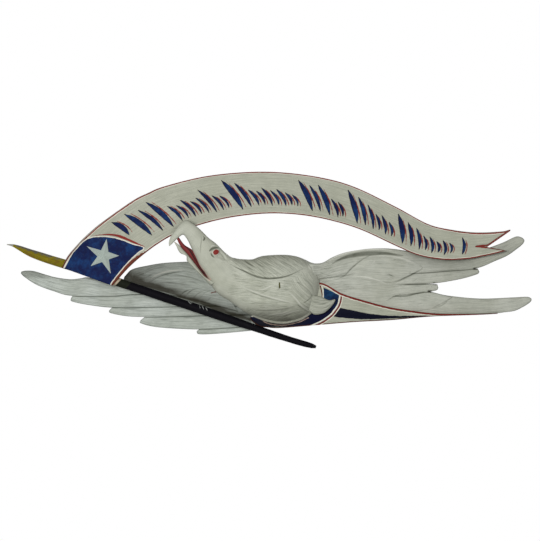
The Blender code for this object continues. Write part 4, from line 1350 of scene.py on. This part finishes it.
class EagleColours(bpy.types.PropertyGroup):
    """Paints of the carving"""

    white: FloatVectorProperty(
        name="White", description="Paint of the bird", subtype="COLOR", default=(0.374, 0.383, 0.340)
    )
    warm_white: FloatVectorProperty(
        name="Warm white", description="Paint of the body", subtype="COLOR", default=(0.387, 0.398, 0.343)
    )
    cool_white: FloatVectorProperty(
        name="Cool white", description="Paint of the left wing", subtype="COLOR", default=(0.375, 0.402, 0.378)
    )
    banner: FloatVectorProperty(
        name="Banner", description="Ground of the pennant", subtype="COLOR", default=(0.345, 0.352, 0.292)
    )
    line_white: FloatVectorProperty(
        name="Line white", description="Thin light lines", subtype="COLOR", default=(0.62, 0.605, 0.53)
    )
    navy: FloatVectorProperty(
        name="Navy", description="Dark blue paint", subtype="COLOR", default=(0.0035, 0.0078, 0.050)
    )
    faded_navy: FloatVectorProperty(
        name="Faded navy", description="Where the dark blue has faded", subtype="COLOR", default=(0.006, 0.034, 0.125)
    )
    red: FloatVectorProperty(name="Red", description="Red paint", subtype="COLOR", default=(0.20, 0.024, 0.020))
    gilt: FloatVectorProperty(
        name="Gilt", description="Old gilding on the spear", subtype="COLOR", default=(0.30, 0.235, 0.0035)
    )
    black: FloatVectorProperty(
        name="Black", description="Paint of the staff", subtype="COLOR", default=(0.0035, 0.003, 0.005)
    )
    # the tint that dirt and painted shade lay over the paint
    grime_and_shade_tint: FloatVectorProperty(
        name="GrimeAndShade", description="How dirt in the cuts dims the paint", subtype="COLOR", default=(0.26, 0.27, 0.24)
    )
    # paint rubbed pale, also used as painted highlight on the raised lines
    worn: FloatVectorProperty(
        name="WornAndHighlight", description="Paint where hands have rubbed it", subtype="COLOR", default=(0.56, 0.565, 0.50)
    )


class EAGLE_OT_wings(bpy.types.Operator):
    """Carve and paint both wings"""

    bl_idname = "eagle.wings"
    bl_label = "Wings"

    def execute(self, context):
        left = painted("left_wing_paint", colours().cool_white, (("rust", -1.0, 1.0, (0.13, 0.035, 0.025)),))
        right = painted("right_wing_paint", colours().white)
        wing("left_wing", LEFT_FEATHERS, LEFT_WING_CUTS, left).name = "left_wing_feathers"
        wing("right_wing", RIGHT_FEATHERS, RIGHT_WING_CUTS, right).name = "right_wing_feathers"
        return {"FINISHED"}


class EAGLE_OT_body(bpy.types.Operator):
    """Carve and paint the body, the head with its open beak and the thigh's tuft"""

    bl_idname = "eagle.body"
    bl_label = "Body"

    def execute(self, context):
        paint = colours()
        layers = (
            # pale lines along the lips, painted highlight
            ("lip_highlight", -1.0, 1.3, (0.52, 0.40, 0.35)),
            # a pale line along the belly's lower edge, painted highlight
            ("rim", -1.0, 1.5, (0.50, 0.49, 0.42)),
            ("check", -1.0, 1.5, (0.13, 0.125, 0.045)),
            ("eye", -1.0, EYE[2] + 0.9, (0.47, 0.46, 0.40)),
            ("eye", -1.0, EYE[2] - 0.4, paint.red),
        )
        body = painted("body_paint", paint.warm_white, layers)
        rows = sizes().body_rows
        carved_form("body_and_head", BODY_RIBS, rows, 200, body, body_relief, 300)
        carved_form("lower_beak", JAW_RIBS, rows // 3, 72, body, None, 310, 0.4)
        # painted shade in the mouth's crease, on the tongue
        crease_shade = ("crease_shade", -9.0, 0.2, (0.035, 0.010, 0.010))
        tongue = painted("tongue_paint", (0.155, 0.021, 0.022), (crease_shade,), age=0.6)
        carved_form("tongue", TONGUE_RIBS, rows // 3, 48, tongue, None, 320, 0.2)
        thigh_tuft(body)
        return {"FINISHED"}


class EAGLE_OT_pennant(bpy.types.Operator):
    """Cut and paint the pennant and its star"""

    bl_idname = "eagle.pennant"
    bl_label = "Pennant"

    def execute(self, context):
        paint = colours()
        black = (0.010, 0.009, 0.014)
        layers = (
            ("lines", -9.0, 0.0, (0.36, 0.35, 0.31)),
            ("lines", 0.0, 2.9, paint.red),
            ("hoist_lines", 0.0, 3.2, (0.13, 0.022, 0.018)),
            ("lines", 2.9, 4.3, paint.line_white),
            ("hoist_lines", 3.2, 5.4, paint.line_white),
            ("vee", 0.0, 2.0, DARK_RED),
            ("vee", 0.0, 1.3, paint.red),
            ("inner_border", -99.0, 0.0, (0.13, 0.030, 0.018)),
            ("canton", -99.0, 2.2, paint.line_white),
            ("band", -99.0, 0.0, paint.red),
            ("canton", -99.0, 0.0, navies()),
            ("shade", -99.0, 0.0, paint.red),
            ("leaf", -99.0, 0.5, black),
            ("leaf", -99.0, -0.6, navies()),
        )
        pennant(painted("banner_paint", paint.banner, layers, age=0.6, shine=0.05))
        star(painted("star_paint", (0.49, 0.56, 0.52), age=0.4))
        return {"FINISHED"}


class EAGLE_OT_shield(bpy.types.Operator):
    """Cut and paint the striped shield"""

    bl_idname = "eagle.shield"
    bl_label = "Shield"

    def execute(self, context):
        paint = colours()
        layers = (
            ("wedge", -99.0, 0.6, (0.0036, 0.0042, 0.013)),
            ("chief", -99.0, 0.0, ((0.004, 0.012, 0.046), (0.007, 0.045, 0.115))),
            ("chief_low", -99.0, 0.0, (0.0028, 0.0042, 0.022)),
            ("bottom", 0.0, 2.2, DARK_RED),
            ("chief_right", -2.0, 1.4, paint.line_white),
            ("chief_right", 1.4, 2.2, paint.navy),
            ("chief_right", 2.2, 5.6, DARK_RED),
            ("chief_right", 2.6, 4.0, paint.red),
            ("chief_right", 5.6, 7.4, paint.line_white),
            ("left_border", 0.0, 1.5, DARK_RED),
            ("chief_left", 0.0, 1.2, paint.line_white),
            ("under", 0.0, 1.0, (0.45, 0.33, 0.28)),
            ("top", 4.4, 6.4, paint.line_white),
            ("top", -1.0, 4.4, DARK_RED),
            ("top", 0.5, 3.6, paint.red),
        )
        shield(painted("shield_paint", paint.banner, layers, age=0.7, shine=0.05))
        return {"FINISHED"}


class EAGLE_OT_flagstaff(bpy.types.Operator):
    """Turn and paint the staff and gild its spear point"""

    bl_idname = "eagle.flagstaff"
    bl_label = "Flagstaff"

    def execute(self, context):
        paint = colours()
        layers = (
            ("patch", -9.0, 22.0, (0.010, 0.012, 0.007)),
            ("patch", -11.0, 0.0, (0.40, 0.33, 0.24)),
            ("scratch", 0.0, 0.7, (0.30, 0.31, 0.30)),
        )
        staff(painted("staff_paint", paint.black, layers, age=0.3, shine=0.06))
        layers = (
            ("mottle", 0.36, 9.0, (0.25, 0.16, 0.010)),
            # painted shade on the spear's upper side
            ("upper", 0.22, 2.0, (0.17, 0.155, 0.12)),
            # painted highlight on the spear's tip
            ("tip", -1.0, 13.0, (0.44, 0.43, 0.38)),
        )
        spear(painted("spear_gilding", paint.gilt, layers, age=1.0, shine=0.2))
        return {"FINISHED"}


class EAGLE_OT_stage(bpy.types.Operator):
    """Set the floor, the soft lights and the camera straight in front of the carving"""

    bl_idname = "eagle.stage"
    bl_label = "Stage"

    def execute(self, context):
        scene = context.scene
        floor()
        soft_light("key_light", (-1.2, -3.4, 0.4), 1.0, 90.0)
        soft_light("fill_light", (1.2, -3.2, 0.6), 1.4, 26.0)
        soft_light("back_light", (0.5, 3.2, 0.9), 2.0, 36.0)
        scene.world = scene.world or bpy.data.worlds.new("World")
        scene.world.use_nodes = True
        pale_surroundings(scene.world.node_tree)
        scene.view_settings.view_transform = "Standard"
        picture_width = PICTURE_PIXELS * PIXEL * MM
        lens = bpy.data.cameras.new("camera")
        lens.sensor_fit = "HORIZONTAL"
        lens.sensor_width = 36.0
        lens.lens = 36.0 * CAMERA_DISTANCE / picture_width
        lens.clip_end = 100.0
        camera = bpy.data.objects.new("camera", lens)
        camera.location = (0.0, -CAMERA_DISTANCE - SCALE_DEPTH, CAMERA_UP * PIXEL * MM)
        camera.rotation_euler = (math.radians(90), 0, 0)
        scene.collection.objects.link(camera)
        scene.camera = camera
        return {"FINISHED"}


def floor():
    """A pale round floor far below the eagle."""
    bm = bmesh.new()
    bmesh.ops.create_circle(bm, segments=96, radius=1400, cap_ends=True)
    bmesh.ops.translate(bm, verts=bm.verts, vec=(0, 0, -820))
    pale = bpy.data.materials.new("floor")
    pale.use_nodes = True
    pale.node_tree.nodes["Principled BSDF"].inputs["Base Color"].default_value = (0.8, 0.8, 0.8, 1)
    pale.node_tree.nodes["Principled BSDF"].inputs["Roughness"].default_value = 0.9
    finished(bm, "floor", [pale])


def soft_light(name, place, size, power):
    """A square lamp at this place that faces the eagle."""
    light = bpy.data.lights.new(name, "AREA")
    light.size = size
    light.energy = power
    made = bpy.data.objects.new(name, light)
    made.location = place
    made.rotation_euler = (-Vector(place)).to_track_quat("-Z", "Y").to_euler()
    bpy.context.scene.collection.objects.link(made)


def pale_surroundings(tree):
    """White where it is seen, and a softer light on the carving."""
    tree.nodes.clear()
    nodes = Nodes(tree)
    seen = nodes.put("ShaderNodeLightPath").outputs["Is Camera Ray"]
    strength = nodes.math("MULTIPLY_ADD", seen, 0.70, 0.30)
    shown = nodes.put("ShaderNodeBackground", {"Color": (1, 1, 1, 1), "Strength": strength})
    nodes.put("ShaderNodeOutputWorld", {"Surface": shown.outputs[0]})


class EAGLE_PT_panel(bpy.types.Panel):
    """The carving's pieces and settings"""

    bl_label = "Pilot House Eagle"
    bl_idname = "EAGLE_PT_panel"
    bl_space_type = "VIEW_3D"
    bl_region_type = "UI"
    bl_category = "Eagle"

    def draw(self, context):
        for group in (context.scene.eagle_sizes, context.scene.eagle_colours):
            for name in group.__annotations__:
                self.layout.prop(group, name)
        for operator in OPERATORS:
            self.layout.operator(operator.bl_idname)


OPERATORS = (
    EAGLE_OT_wings,
    EAGLE_OT_body,
    EAGLE_OT_pennant,
    EAGLE_OT_shield,
    EAGLE_OT_flagstaff,
    EAGLE_OT_stage,
)
CLASSES = (EagleSizes, EagleColours, *OPERATORS, EAGLE_PT_panel)


def register():
    for made in CLASSES:
        bpy.utils.register_class(made)
    bpy.types.Scene.eagle_sizes = PointerProperty(type=EagleSizes)
    bpy.types.Scene.eagle_colours = PointerProperty(type=EagleColours)


def unregister():
    del bpy.types.Scene.eagle_sizes
    del bpy.types.Scene.eagle_colours
    for made in reversed(CLASSES):
        bpy.utils.unregister_class(made)


def main():
    """Builds every piece and the stage."""
    register()
    bpy.ops.eagle.wings()
    bpy.ops.eagle.body()
    bpy.ops.eagle.pennant()
    bpy.ops.eagle.shield()
    bpy.ops.eagle.flagstaff()
    bpy.ops.eagle.stage()


if __name__ == "__main__":
    main()
